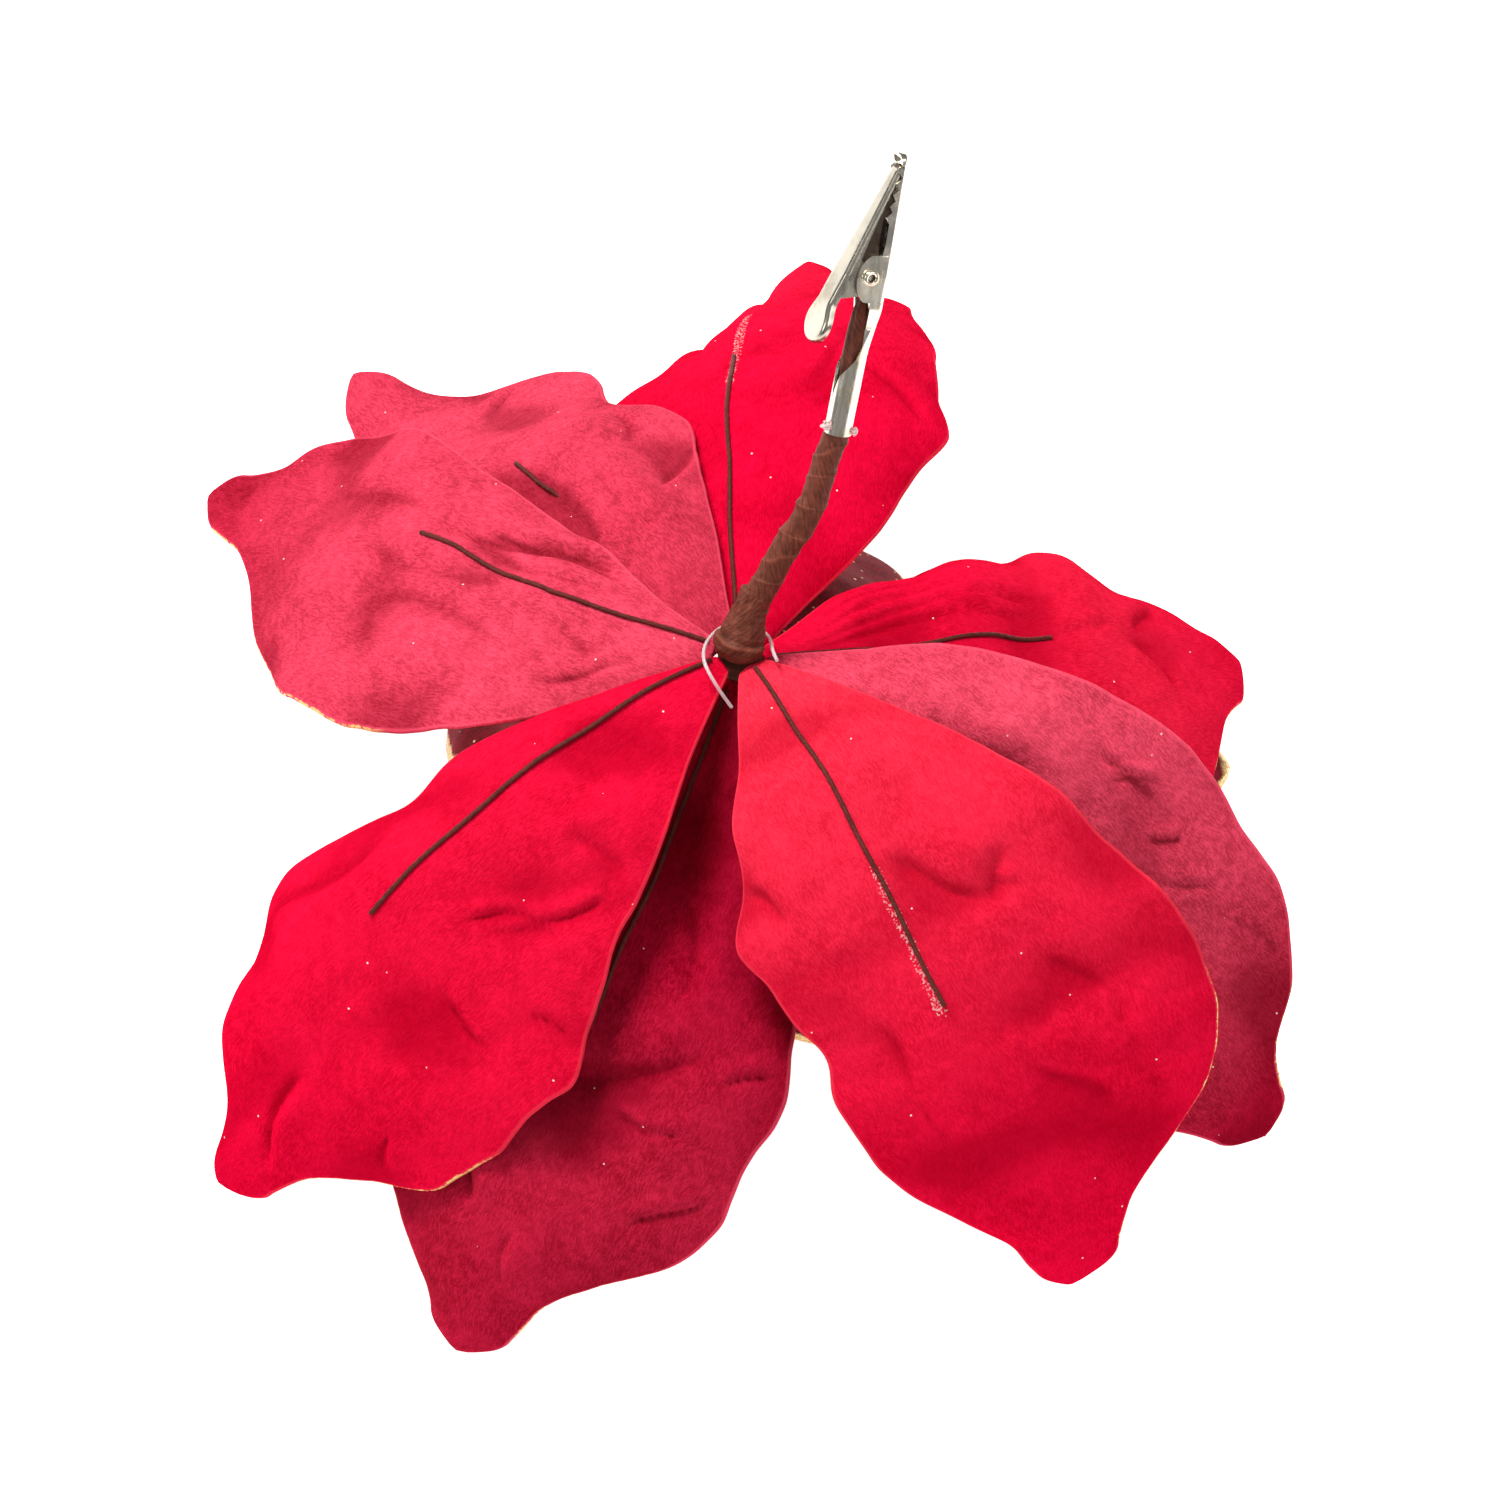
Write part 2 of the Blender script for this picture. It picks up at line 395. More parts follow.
class Surface:
    """Grids in millimetres, gathered into one mesh with a UV map and point attributes."""

    def __init__(self, name):
        self.name = name
        self.points, self.faces, self.uvs, self.slots, self.marks = [], [], [], [], {}
        self.count = 0

    def add(self, grid, uv=None, wrap_rows=False, wrap_columns=False, slot=0, **marks):
        """Adds a grid (rows, columns, 3); uv is (rows, columns, 2) in centimetres, marks are point values."""
        rows, columns = grid.shape[:2]
        faces = grid_faces(rows, columns, wrap_rows, wrap_columns, self.count)
        if uv is None:
            uv = np.zeros((rows, columns, 2))
        self.points.append(grid.reshape(-1, 3))
        self.faces.append(faces)
        self.uvs.append(np.broadcast_to(uv, (rows, columns, 2)).reshape(-1, 2))
        self.slots.append(np.broadcast_to(np.asarray(slot), (len(faces),)) if np.ndim(slot) == 0 else slot)
        for key in set(self.marks) | set(marks):
            past = self.marks.setdefault(key, [np.zeros(self.count)])
            past.append(np.broadcast_to(marks.get(key, 0.0), (rows, columns)).reshape(-1))
        self.count += rows * columns

    def build(self, materials, closed=True, flat_angle=None):
        """Makes the object, merges its seams and poles and turns its faces outwards."""
        points, faces = np.concatenate(self.points) * MM, np.concatenate(self.faces)
        uvs = np.concatenate(self.uvs)[faces.reshape(-1)]
        mesh = bpy.data.meshes.new(self.name)
        mesh.vertices.add(len(points))
        mesh.vertices.foreach_set("co", points.reshape(-1))
        mesh.loops.add(faces.size)
        mesh.loops.foreach_set("vertex_index", faces.reshape(-1).astype(np.int32))
        mesh.polygons.add(len(faces))
        mesh.polygons.foreach_set("loop_start", np.arange(0, faces.size, 4, dtype=np.int32))
        mesh.polygons.foreach_set("material_index", np.concatenate(self.slots).astype(np.int32))
        mesh.update(calc_edges=True)
        mesh.uv_layers.new(name="cloth").data.foreach_set("uv", uvs.reshape(-1))
        for key, values in self.marks.items():
            mesh.attributes.new(key, "FLOAT", "POINT").data.foreach_set("value", np.concatenate(values))
        tidy_mesh(mesh, closed)
        mesh.shade_smooth()
        if flat_angle is not None:
            mesh.set_sharp_from_angle(angle=math.radians(flat_angle))
        for material in materials:
            mesh.materials.append(material)
        piece = bpy.data.objects.new(self.name, mesh)
        bpy.context.scene.collection.objects.link(piece)
        return piece


def tidy_mesh(mesh, closed):
    """Merges points closer than a micrometre, drops faces without area and turns a closed skin outwards."""
    work = bmesh.new()
    work.from_mesh(mesh)
    bmesh.ops.remove_doubles(work, verts=work.verts, dist=1e-6)
    bmesh.ops.dissolve_degenerate(work, dist=1e-7, edges=work.edges)
    if closed:
        bmesh.ops.recalc_face_normals(work, faces=work.faces)
    work.to_mesh(mesh)
    work.free()


def frames_along(path):
    """Tangent, side and up at each point of a path, turned as little as possible from point to point."""
    tangent = np.gradient(path, axis=0)
    tangent /= np.linalg.norm(tangent, axis=1, keepdims=True)
    up = np.zeros_like(path)
    first = np.cross(tangent[0], [0.0, 1.0, 0.0])
    up[0] = unit(first if np.linalg.norm(first) > 1e-3 else [0.0, 0.0, 1.0])
    for k in range(1, len(path)):
        up[k] = unit(up[k - 1] - tangent[k] * up[k - 1].dot(tangent[k]))
    return tangent, np.cross(up, tangent), up


def tube_grid(path, radius, around=16, ends=True):
    """Tube about a path: each ring is path + radius(cos a side + sin a up); ends shrink to a point."""
    if ends:
        path = np.concatenate([path[:1], path, path[-1:]])
        radius = np.broadcast_to(radius, (len(path) - 2,) if np.ndim(radius) < 2 else (len(path) - 2, around))
        radius = np.concatenate([radius[:1] * 0, radius, radius[-1:] * 0])
    _, side, up = frames_along(path + 1e-9 * np.arange(len(path))[:, None])
    if ends:
        side[0], up[0], side[-1], up[-1] = side[1], up[1], side[-2], up[-2]
    angle = np.arange(around) * TURN / around
    ring = np.cos(angle)[None, :, None] * side[:, None] + np.sin(angle)[None, :, None] * up[:, None]
    radius = radius[:, None] if np.ndim(radius) == 1 else radius
    return path[:, None] + ring * np.broadcast_to(radius, ring.shape[:2])[..., None]


def turns(around):
    """Angles of a full turn, as one row."""
    return np.arange(around)[None, :] * TURN / around


def stacked(*parts):
    """Points from their coordinates, each spread over the others' grid."""
    return np.stack(np.broadcast_arrays(*parts), -1)


def along(path):
    """Distance from a path's start to each of its points."""
    return np.concatenate([[0.0], np.cumsum(np.linalg.norm(np.diff(path, axis=0), axis=1))])


def tube_uv(path, around, radius, ends=True):
    """UV of a tube in centimetres: around it and along it."""
    length = along(path)
    if ends:
        length = np.concatenate([length[:1], length, length[-1:]])
    turn = np.arange(around) / around * TURN * radius
    return stacked(turn[None, :], length[:, None]) / 10.0


def ripple(seed, x, y, waves, low, high):
    """Sum of plain waves with wavelengths from low to high in random directions, about 1 high."""
    rng = np.random.default_rng(seed)
    total = 0.0
    for _ in range(waves):
        size, turn, start = rng.uniform(low, high), rng.uniform(0, TURN), rng.uniform(0, TURN)
        total = total + np.sin(TURN * (x * math.cos(turn) + y * math.sin(turn)) / size + start)
    return total / math.sqrt(waves)


# ------------------------------------------------------------------ shader helpers
class Nodes:
    """Small helper that makes and links nodes in one tree."""

    def __init__(self, tree):
        self.tree = tree

    def make(self, kind, inputs=None, **settings):
        """Makes a node; inputs may be sockets, which are linked, or plain values."""
        node = self.tree.nodes.new(kind)
        for key, value in settings.items():
            setattr(node, key, value)
        for key, value in (inputs or {}).items():
            if isinstance(value, bpy.types.NodeSocket):
                self.tree.links.new(value, node.inputs[key])
            else:
                node.inputs[key].default_value = value
        return node

    def maths(self, operation, a, b=0.0, clamp=False):
        """One Math node's value."""
        return self.make("ShaderNodeMath", {0: a, 1: b}, operation=operation, use_clamp=clamp).outputs[0]

    def plus(self, a, b):
        """a + b."""
        return self.maths("ADD", a, b)

    def minus(self, a, b):
        """a - b."""
        return self.maths("SUBTRACT", a, b)

    def times(self, a, b, clamp=False):
        """a times b."""
        return self.maths("MULTIPLY", a, b, clamp)

    def scale(self, vector, size):
        """Vector times a number."""
        return self.make("ShaderNodeVectorMath", {0: vector, 3: size}, operation="SCALE").outputs[0]

    def place(self):
        """The point's place on the piece, in metres."""
        return self.make("ShaderNodeTexCoord").outputs["Object"]

    def cloth(self):
        """The piece's UV map, in centimetres."""
        return self.make("ShaderNodeUVMap", uv_map="cloth").outputs[0]

    def use(self, name, **inputs):
        """Outputs of the named node group with these inputs."""
        return self.make("ShaderNodeGroup", inputs, node_tree=group(name)).outputs

    def mix(self, share, a, b):
        """Colour between a and b."""
        node = self.make("ShaderNodeMix", data_type="RGBA")
        for socket, value in ((node.inputs[0], share), (node.inputs[6], a), (node.inputs[7], b)):
            if isinstance(value, bpy.types.NodeSocket):
                self.tree.links.new(value, socket)
            else:
                socket.default_value = value
        return node.outputs[2]

    def step(self, value, low, high):
        """0 below low, 1 above high, smooth between."""
        inputs = {0: value, 1: low, 2: high}
        return self.make("ShaderNodeMapRange", inputs, interpolation_type="SMOOTHSTEP").outputs[0]

    def noise(self, vector, scale, detail=2.0, roughness=0.5, output="Fac"):
        """Noise texture's value or colour."""
        inputs = {"Vector": vector, "Scale": scale, "Detail": detail, "Roughness": roughness}
        return self.make("ShaderNodeTexNoise", inputs).outputs[output]

    def stretch(self, vector, scale):
        """Vector with its axes scaled."""
        return self.make("ShaderNodeMapping", {"Vector": vector, "Scale": scale}).outputs[0]


def new_group(name, inputs, outputs):
    """Node group with named sockets: inputs and outputs are lists of (name, kind, default)."""
    group = bpy.data.node_groups.new(name, "ShaderNodeTree")
    for title, kind, default in inputs:
        socket = group.interface.new_socket(title, in_out="INPUT", socket_type="NodeSocket" + kind)
        if default is not None:
            socket.default_value = default
    for title, kind in outputs:
        group.interface.new_socket(title, in_out="OUTPUT", socket_type="NodeSocket" + kind)
    nodes = Nodes(group)
    return group, nodes, nodes.make("NodeGroupInput").outputs, nodes.make("NodeGroupOutput").inputs


def nap_group():
    """Velvet nap: short streaks along the cloth over fine grain and blotches, and broad patches of leaning pile."""
    group, n, i, o = new_group("Velvet nap", [("Vector", "Vector", None), ("Grain", "Float", 1.0)],
                               [("Tone", "Float"), ("Patch", "Float"), ("Height", "Float")])
    warp = n.scale(n.noise(i["Vector"], 1.2, 2.0, output="Color"), 0.35)
    bent = n.make("ShaderNodeVectorMath", {0: i["Vector"], 1: warp}, operation="ADD").outputs[0]
    scaled = n.scale(bent, i["Grain"])
    streaks = n.noise(n.stretch(scaled, (34.0, 7.0, 1.0)), 1.0, 3.0, 0.65)
    grain = n.noise(scaled, 30.0, 2.0, 0.7)
    blotch = n.noise(scaled, 4.5, 4.0, 0.6)
    tone = n.plus(n.times(streaks, 0.45), n.times(grain, 0.30))
    tone = n.plus(tone, n.times(blotch, 0.25))
    links = n.tree.links
    links.new(n.step(tone, 0.41, 0.61), o["Tone"])
    links.new(n.step(n.noise(bent, 0.75, 3.0, 0.55), 0.35, 0.68), o["Patch"])
    links.new(tone, o["Height"])
    return group


def speck_group():
    """Tiny bright specks: cells whose own random value is high show a dot at their point."""
    inputs = [("Vector", "Vector", None), ("Scale", "Float", 900.0), ("Share", "Float", 0.03),
              ("Size", "Float", 0.16)]
    group, n, i, o = new_group("Glitter dust", inputs, [("Mask", "Float")])
    cells = n.make("ShaderNodeTexVoronoi", {"Vector": i["Vector"], "Scale": i["Scale"]})
    pick = n.make("ShaderNodeSeparateColor", {"Color": cells.outputs["Color"]}).outputs[0]
    chosen = n.maths("LESS_THAN", pick, i["Share"])
    near = n.maths("LESS_THAN", cells.outputs["Distance"], i["Size"])
    n.tree.links.new(n.times(chosen, near), o["Mask"])
    return group


def wound_paper_group():
    """Wound crepe paper: fine ribs across the winding, fibres along it and stains."""
    group, n, i, o = new_group("Wound paper", [("Vector", "Vector", None), ("Ribs", "Float", 10.0)],
                               [("Tone", "Float"), ("Stain", "Float"), ("Height", "Float")])
    turned = n.make("ShaderNodeMapping", {"Vector": i["Vector"], "Rotation": (0.0, 0.0, 0.95)}).outputs[0]
    scaled = n.scale(turned, i["Ribs"])
    ribs = n.noise(n.stretch(scaled, (0.5, 2.6, 1.0)), 1.0, 4.0, 0.65)
    grain = n.noise(scaled, 4.0, 3.0, 0.7)
    both = n.plus(n.times(ribs, 0.7), n.times(grain, 0.3))
    n.tree.links.new(n.step(both, 0.36, 0.66), o["Tone"])
    n.tree.links.new(n.step(n.noise(i["Vector"], 2.2, 3.0), 0.42, 0.66), o["Stain"])
    n.tree.links.new(both, o["Height"])
    return group


GROUPS = {}


def group(name):
    """The named node group, built once."""
    makers = {"nap": nap_group, "specks": speck_group, "paper": wound_paper_group}
    if name not in GROUPS:
        GROUPS[name] = makers[name]()
    return GROUPS[name]


def colour(rgb, share=1.0):
    """Colour with alpha, darkened or lightened by share."""
    return tuple(min(1.0, c * share) for c in rgb) + (1.0,)


def new_material(name, **settings):
    """Material with a Principled shader whose plain values are set from settings."""
    material = bpy.data.materials.new(name)
    material.use_nodes = True
    nodes = Nodes(material.node_tree)
    shader = material.node_tree.nodes["Principled BSDF"]
    for key, value in settings.items():
        shader.inputs[key.replace("_", " ")].default_value = value
    return material, nodes, shader


def join(nodes, shader, **sockets):
    """Links sockets into the shader."""
    for key, socket in sockets.items():
        nodes.tree.links.new(socket, shader.inputs[key.replace("_", " ")])


def bump(nodes, height, strength, distance):
    """Normal from a height."""
    return nodes.make("ShaderNodeBump", {"Height": height, "Strength": strength, "Distance": distance}).outputs[0]


def attribute(nodes, name):
    """The piece's own point value of that name."""
    return nodes.make("ShaderNodeAttribute", attribute_name=name).outputs["Fac"]


def velvet_back(name, base, light, bloom, sheen):
    """Velvet of a petal's back: streaked nap, leaning patches, fuzzy cut edge, dried glue and glitter dust."""
    material, n, shader = new_material(name, Roughness=0.85, Sheen_Weight=sheen, Sheen_Roughness=0.42,
                                       Sheen_Tint=(1.0, 0.42, 0.50, 1.0), Specular_IOR_Level=0.0)
    cloth = n.cloth()
    place = n.place()
    nap = n.use("nap", Vector=cloth, Grain=1.0)
    tone = n.mix(n.times(nap["Tone"], 0.60), colour(base, 0.70), colour(light))
    uneven = n.plus(n.times(nap["Patch"], 0.18), n.times(nap["Tone"], 0.50))
    brushed = n.times(attribute(n, "bloom"), n.plus(uneven, 0.36), clamp=True)
    tone = n.mix(n.times(nap["Patch"], 0.30), tone, colour(light))
    tone = n.mix(brushed, tone, colour(bloom))
    pressed = n.times(attribute(n, "hollow"), 0.54, clamp=True)
    tone = n.mix(pressed, tone, colour(base, 0.50))
    fuzz = n.minus(1.0, n.step(attribute(n, "edge"), 0.10, 0.60))
    tone = n.mix(n.times(fuzz, 0.50), tone, colour(bloom))
    rough_glue = n.plus(attribute(n, "glue"), n.times(n.noise(place, 2600.0, 3.0), 0.9))
    glued = n.step(rough_glue, 1.35, 1.43)
    tone = n.mix(n.times(glued, 0.62), tone, (0.86, 0.50, 0.50, 1.0))
    specks = n.use("specks", Vector=place, Scale=620.0, Share=0.022, Size=0.11)[0]
    tone = n.mix(n.times(specks, 0.8), tone, (0.95, 0.78, 0.66, 1.0))
    near = n.plus(n.noise(place, 480.0, 4.0, 0.75), 0.45)
    near = n.minus(near, n.times(attribute(n, "edge"), 0.60))
    gilt = n.times(n.step(near, 0.88, 0.98), attribute(n, "gilt"), clamp=True)
    tone = n.mix(gilt, tone, (0.80, 0.52, 0.20, 1.0))
    rough = n.minus(0.88, n.times(n.maths("MAXIMUM", glued, gilt), 0.40))
    join(n, shader, Base_Color=tone, Roughness=rough, Metallic=n.times(gilt, 0.6),
         Normal=bump(n, nap["Height"], 0.9, 0.00035))
    return material


def glittered_face(name, base, width):
    """Face of a petal: burgundy velvet with a margin of gold glitter of uneven width."""
    material, n, shader = new_material(name, Sheen_Weight=0.35, Sheen_Roughness=0.4,
                                       Sheen_Tint=(0.9, 0.25, 0.3, 1.0), Specular_IOR_Level=0.25)
    cloth = n.cloth()
    place = n.place()
    nap = n.use("nap", Vector=cloth, Grain=1.0)
    tone = n.mix(nap["Tone"], colour(base, 0.6), colour(base, 1.7))
    wander = n.times(n.noise(place, 420.0, 3.0, 0.6), 2.4)
    reach = n.minus(attribute(n, "edge"), wander)
    margin = n.minus(1.0, n.step(reach, width / MM - 1.9, width / MM - 0.7))
    cells = n.make("ShaderNodeTexVoronoi", {"Vector": place, "Scale": 3200.0})
    grains = n.make("ShaderNodeSeparateColor", {"Color": cells.outputs["Color"]}).outputs
    gold = n.mix(grains[0], (0.62, 0.34, 0.08, 1.0), (1.0, 0.80, 0.42, 1.0))
    loose = n.use("specks", Vector=place, Scale=800.0, Share=0.10, Size=0.22)[0]
    shown = n.maths("MAXIMUM", margin, loose)
    height = n.plus(n.times(grains[1], shown), n.times(nap["Height"], 0.5))
    join(n, shader, Base_Color=n.mix(shown, tone, gold), Metallic=n.times(shown, 0.85),
         Roughness=n.minus(0.88, n.times(shown, 0.52)), Normal=bump(n, height, 0.8, 0.0002))
    return material


def wound_paper(name, base, ribs, shine):
    """Wound crepe paper or floral tape, slightly waxy, with stains and worn ribs."""
    material, n, shader = new_material(name, Specular_IOR_Level=0.12)
    cloth = n.cloth()
    paper = n.use("paper", Vector=cloth, Ribs=ribs)
    tone = n.mix(paper["Tone"], colour(base, 0.55), colour(base, 1.55))
    tone = n.mix(n.times(paper["Stain"], 0.40), tone, colour(base, 0.50))
    worn = n.times(attribute(n, "worn"), 0.85, clamp=True)
    tone = n.mix(worn, tone, colour(base, 2.4))
    rough = n.minus(shine, n.times(paper["Tone"], 0.12))
    join(n, shader, Base_Color=tone, Roughness=rough, Normal=bump(n, paper["Height"], 0.6, 0.00025))
    return material


def plated_metal(name, base, low, high, scratch):
    """Plated steel: fine scratches along the sheet, faint haze and warm stains."""
    material, n, shader = new_material(name, Metallic=1.0)
    place = n.place()
    fine = n.noise(n.stretch(place, (900.0, 260.0, 260.0)), 1.0, 4.0, 0.7)
    haze = n.noise(place, 190.0, 3.0, 0.6)
    rough = n.make("ShaderNodeMapRange", {0: n.times(fine, haze), 1: 0.12, 2: 0.42, 3: low, 4: high})
    stain = colour((base[0] * 0.86, base[1] * 0.80, base[2] * 0.70))
    tone = n.mix(n.step(haze, 0.50, 0.72), colour(base), stain)
    join(n, shader, Base_Color=tone, Roughness=rough.outputs[0], Normal=bump(n, fine, scratch, 0.00003))
    return material


def clear_plastic(name, tint, rough, scale):
    """Clear or milky plastic with a faintly uneven surface."""
    material, n, shader = new_material(name, Transmission_Weight=0.55, IOR=1.5)
    place = n.place()
    cloud = n.noise(place, scale, 3.0)
    join(n, shader, Base_Color=n.mix(cloud, colour(tint, 0.90), colour(tint, 1.05)),
         Roughness=n.plus(n.times(cloud, 0.15), rough), Normal=bump(n, cloud, 0.3, 0.0001))
    return material


def gold_dusted(name, base):
    """Painted plastic dusted with gold grains."""
    material, n, shader = new_material(name, Specular_IOR_Level=0.4)
    place = n.place()
    cells = n.make("ShaderNodeTexVoronoi", {"Vector": place, "Scale": 2600.0})
    grains = n.make("ShaderNodeSeparateColor", {"Color": cells.outputs["Color"]}).outputs
    dust = n.step(n.plus(grains[0], n.noise(place, 300.0, 2.0)), 0.85, 1.0)
    tone = n.mix(dust, colour(base), (1.0, 0.78, 0.38, 1.0))
    join(n, shader, Base_Color=tone, Metallic=n.times(dust, 0.8),
         Roughness=n.minus(0.75, n.times(dust, 0.35)), Normal=bump(n, grains[1], 0.7, 0.0002))
    return material


MATERIALS = {}


def finish(name):
    """The named finish, made once from the scene's settings."""
    scene = bpy.context.scene
    petals, stem, clip = scene.flower_petals, scene.flower_stem, scene.flower_clip
    makers = {
        "velvet_bright": (velvet_back, "bright_red_velvet", petals.bright, (0.86, 0.004, 0.050),
                          (0.86, 0.050, 0.085), 0.0),
        "velvet_crimson": (velvet_back, "crimson_velvet", petals.crimson, (0.56, 0.008, 0.046),
                           (0.88, 0.082, 0.150), 0.05),
        "velvet_burgundy": (glittered_face, "burgundy_velvet_gold_margin", petals.burgundy, petals.margin),
        "petal_wire": (wound_paper, "brown_paper_wire", (0.115, 0.020, 0.016), 22.0, 0.60),
        "stem_tape": (wound_paper, "brown_floral_tape", stem.tape, 9.0, 0.58),
        "core_tape": (wound_paper, "core_tape", (0.11, 0.04, 0.025), 8.0, 0.7),
        "nickel": (plated_metal, "warm_nickel", clip.nickel, 0.10, 0.30, 0.10),
        "lever_nickel": (plated_metal, "lever_nickel", (0.47, 0.43, 0.36), 0.16, 0.34, 0.10),
        "shaded_nickel": (plated_metal, "shaded_nickel", (0.085, 0.062, 0.045), 0.22, 0.45, 0.2),
        "spring_steel": (plated_metal, "spring_steel", (0.42, 0.40, 0.38), 0.18, 0.40, 0.2),
        "hot_glue": (clear_plastic, "hot_glue", (0.95, 0.74, 0.76), 0.22, 900.0),
        "nylon_strand": (clear_plastic, "nylon", (0.97, 0.86, 0.88), 0.12, 600.0),
        "centre_foam": (gold_dusted, "dusted_centre", (0.16, 0.03, 0.02)),
        "stamen_gold": (gold_dusted, "dusted_stamens", (0.45, 0.24, 0.06)),
    }
    if name not in MATERIALS:
        make, *values = makers[name]
        MATERIALS[name] = make(*values)
    return MATERIALS[name]


# ------------------------------------------------------------------ petals
def petal_values(name, values, blade):
    """A petal's sizes by name, with its outline's lobes."""
    return dict(zip(PETAL_FIELDS, values), lobes=EDGE_LOBES.get(name, []) if blade is BLADE else [])


def spine(p, s):
    """Centre, sideways and upward directions of a petal at the shares s of its length, in millimetres.

    The centreline is a cubic curve in radius and height between the slopes a0 and a1, swayed sideways with
    the square of s and flicked up over its last fifth; the frame leans by roll and twist."""
    th, a0, a1 = (math.radians(p[k]) for k in ("az", "a0", "a1"))
    r0, chord = PETAL_BASE_RADIUS, math.hypot(p["R"] - PETAL_BASE_RADIUS, p["H"])
    k = 0.38 * chord
    radius = np.array([r0, r0 + k * math.cos(a0), p["R"] - k * math.cos(a1), p["R"]])
    height = np.array([0.0, -k * math.sin(a0), k * math.sin(a1) - p["H"], -p["H"]]) + p["z0"]
    blend = np.stack([(1 - s) ** 3, 3 * s * (1 - s) ** 2, 3 * s * s * (1 - s), s ** 3], -1)
    slope = np.stack([-3 * (1 - s) ** 2, 3 * (1 - s) ** 2 - 6 * s * (1 - s),
                      6 * s * (1 - s) - 3 * s * s, 3 * s * s], -1)
    dr, dz = slope @ radius, slope @ height
    size = np.hypot(dr, dz)
    dr, dz = (dr / size)[..., None], (dz / size)[..., None]
    er, et = np.array([math.cos(th), math.sin(th), 0.0]), np.array([-math.sin(th), math.cos(th), 0.0])
    ez = np.array([0.0, 0.0, 1.0])
    up = -dz * er + dr * ez
    flick = p["flick"] * np.clip((s - 0.8) / 0.2, 0, 1) ** 2
    centre = (blend @ radius)[..., None] * er + (blend @ height)[..., None] * ez
    centre = centre + (p["sway"] * s * s)[..., None] * et + flick[..., None] * up + ORIGIN
    lean = np.radians(p["roll"] * np.clip(s / 0.35, 0, 1) + p["twist"] * s)[..., None]
    return centre, et * np.cos(lean) + up * np.sin(lean), up * np.cos(lean) - et * np.sin(lean)


def half_widths(p, blade, s, t):
    """Half width in millimetres at (s, t): the blade's curve with each side's share, skew and lobes."""
    left = t > 0
    share = np.where(left, p["w_ccw"], p["w_cw"])
    skew = np.where(left, p["skew_ccw"], p["skew_cw"])
    rounding = np.sqrt(np.clip(1 - (np.clip(s - 0.965, 0, 1) / 0.035) ** 2, 0, 1))
    lobes = sum(size * np.exp(-((s - at) / spread) ** 2) * (np.sign(t) == sign)
                for sign, at, spread, size in p["lobes"])
    width = table_curve(blade, s) * p["W"] * share * (1 + skew * (0.55 - s) * 2)
    return (width + lobes * smooth(1.0, 0.9, s)) * rounding


def crease_line(p, blade, length, start, end, x, y):
    """Share of the way along a crease, distance off its line and its length, for points (x, y) of the sheet."""
    (x0, y0), (x1, y1) = [(t * float(half_widths(p, blade, np.array(s), np.array(t))), s * length)
                          for s, t in (start, end)]
    size = math.hypot(x1 - x0, y1 - y0)
    ux, uy = (x1 - x0) / size, (y1 - y0) / size
    return ((x - x0) * ux + (y - y0) * uy) / size, (x - x0) * uy - (y - y0) * ux, size


def crease_field(p, blade, length, x, y, creases, folds):
    """Relief in millimetres. A crease is a sharp valley, exp(-distance / width), with a soft lip on one side;
    a fold is a ramp that rises from its line over its reach and falls off more gently beyond."""
    relief = np.zeros_like(x)
    for start, end, depth, width in creases:
        run, off, size = crease_line(p, blade, length, start, end, x, y)
        off = off + 0.06 * size * np.sin(run * 4.2 + start[0] * 31.0)
        fade = smooth(-0.18, 0.25, run) * smooth(1.18, 0.75, run)
        valley = np.exp(-np.abs(off) / (0.75 * width))
        lip = np.exp(-((off - 2.2 * width) / (2.0 * width)) ** 2)
        relief += CREASE_RELIEF * depth * fade * (0.55 * lip - valley)
    for start, end, tilt, reach in folds:
        run, off, size = crease_line(p, blade, length, start, end, x, y)
        inside = smooth(-0.3, 0.0, run) * smooth(1.25, 0.95, run)
        relief += inside * tilt * (np.clip(off, 0, reach) - 0.6 * np.clip(off - reach, 0, reach))
        relief -= 0.35 * inside * np.exp(-np.abs(off) / 0.8)
    return relief


def petal_surface(name, p, blade, seed, s, t, lift):
    """Points of a petal at s along and t across, lift off its middle.

    Across, each half is an arc of its cup's angle; creases, waves and ruffles stand off the arc."""
    centre, side, normal = spine(p, s)
    length = along(spine(p, np.linspace(0, 1, 200))[0])[-1]
    w = half_widths(p, blade, s, t)
    cup = np.radians(np.where(t > 0, p["cup_ccw"], p["cup_cw"]))
    bend = cup * np.abs(t)
    lat = np.sign(t) * w * np.sin(bend) / cup
    drop = w * (1 - np.cos(bend)) / cup
    x, y = t * w, s * length
    relief = crease_field(p, blade, length, x, y, CREASES.get(name, []), FOLDS.get(name, []))
    calm = smooth(0.02, 0.22, s)
    relief = relief * calm
    for k, (height, *waves) in enumerate((BROAD_WAVES, SMALL_WAVES)):
        relief = relief + height * calm * ripple(seed + 50 * k, x, y, *waves)
    ruffle = np.sin(TURN * y / (RUFFLE_WAVE + 6.0 * np.sign(t)) + seed)
    ruffle = ruffle * smooth(0.60, 1.0, np.abs(t)) * RUFFLE_HEIGHT
    relief = relief + ruffle * calm * smooth(1.0, 0.9, s)
    out = normal * np.cos(bend)[..., None] + side * (np.sign(t) * np.sin(bend))[..., None]
    points = centre + side * lat[..., None] - normal * drop[..., None] + out * (relief + lift)[..., None]
    return points, relief, w, length


def edge_wobble(seed, s):
    """Small unevenness of the cut edge."""
    rng = np.random.default_rng(seed + 400)
    total = np.zeros_like(s)
    for k in (9.0, 16.0, 27.0, 41.0):
        total += np.sin(k * TURN * s / 2 + rng.uniform(0, TURN)) / k
    return total * 0.045


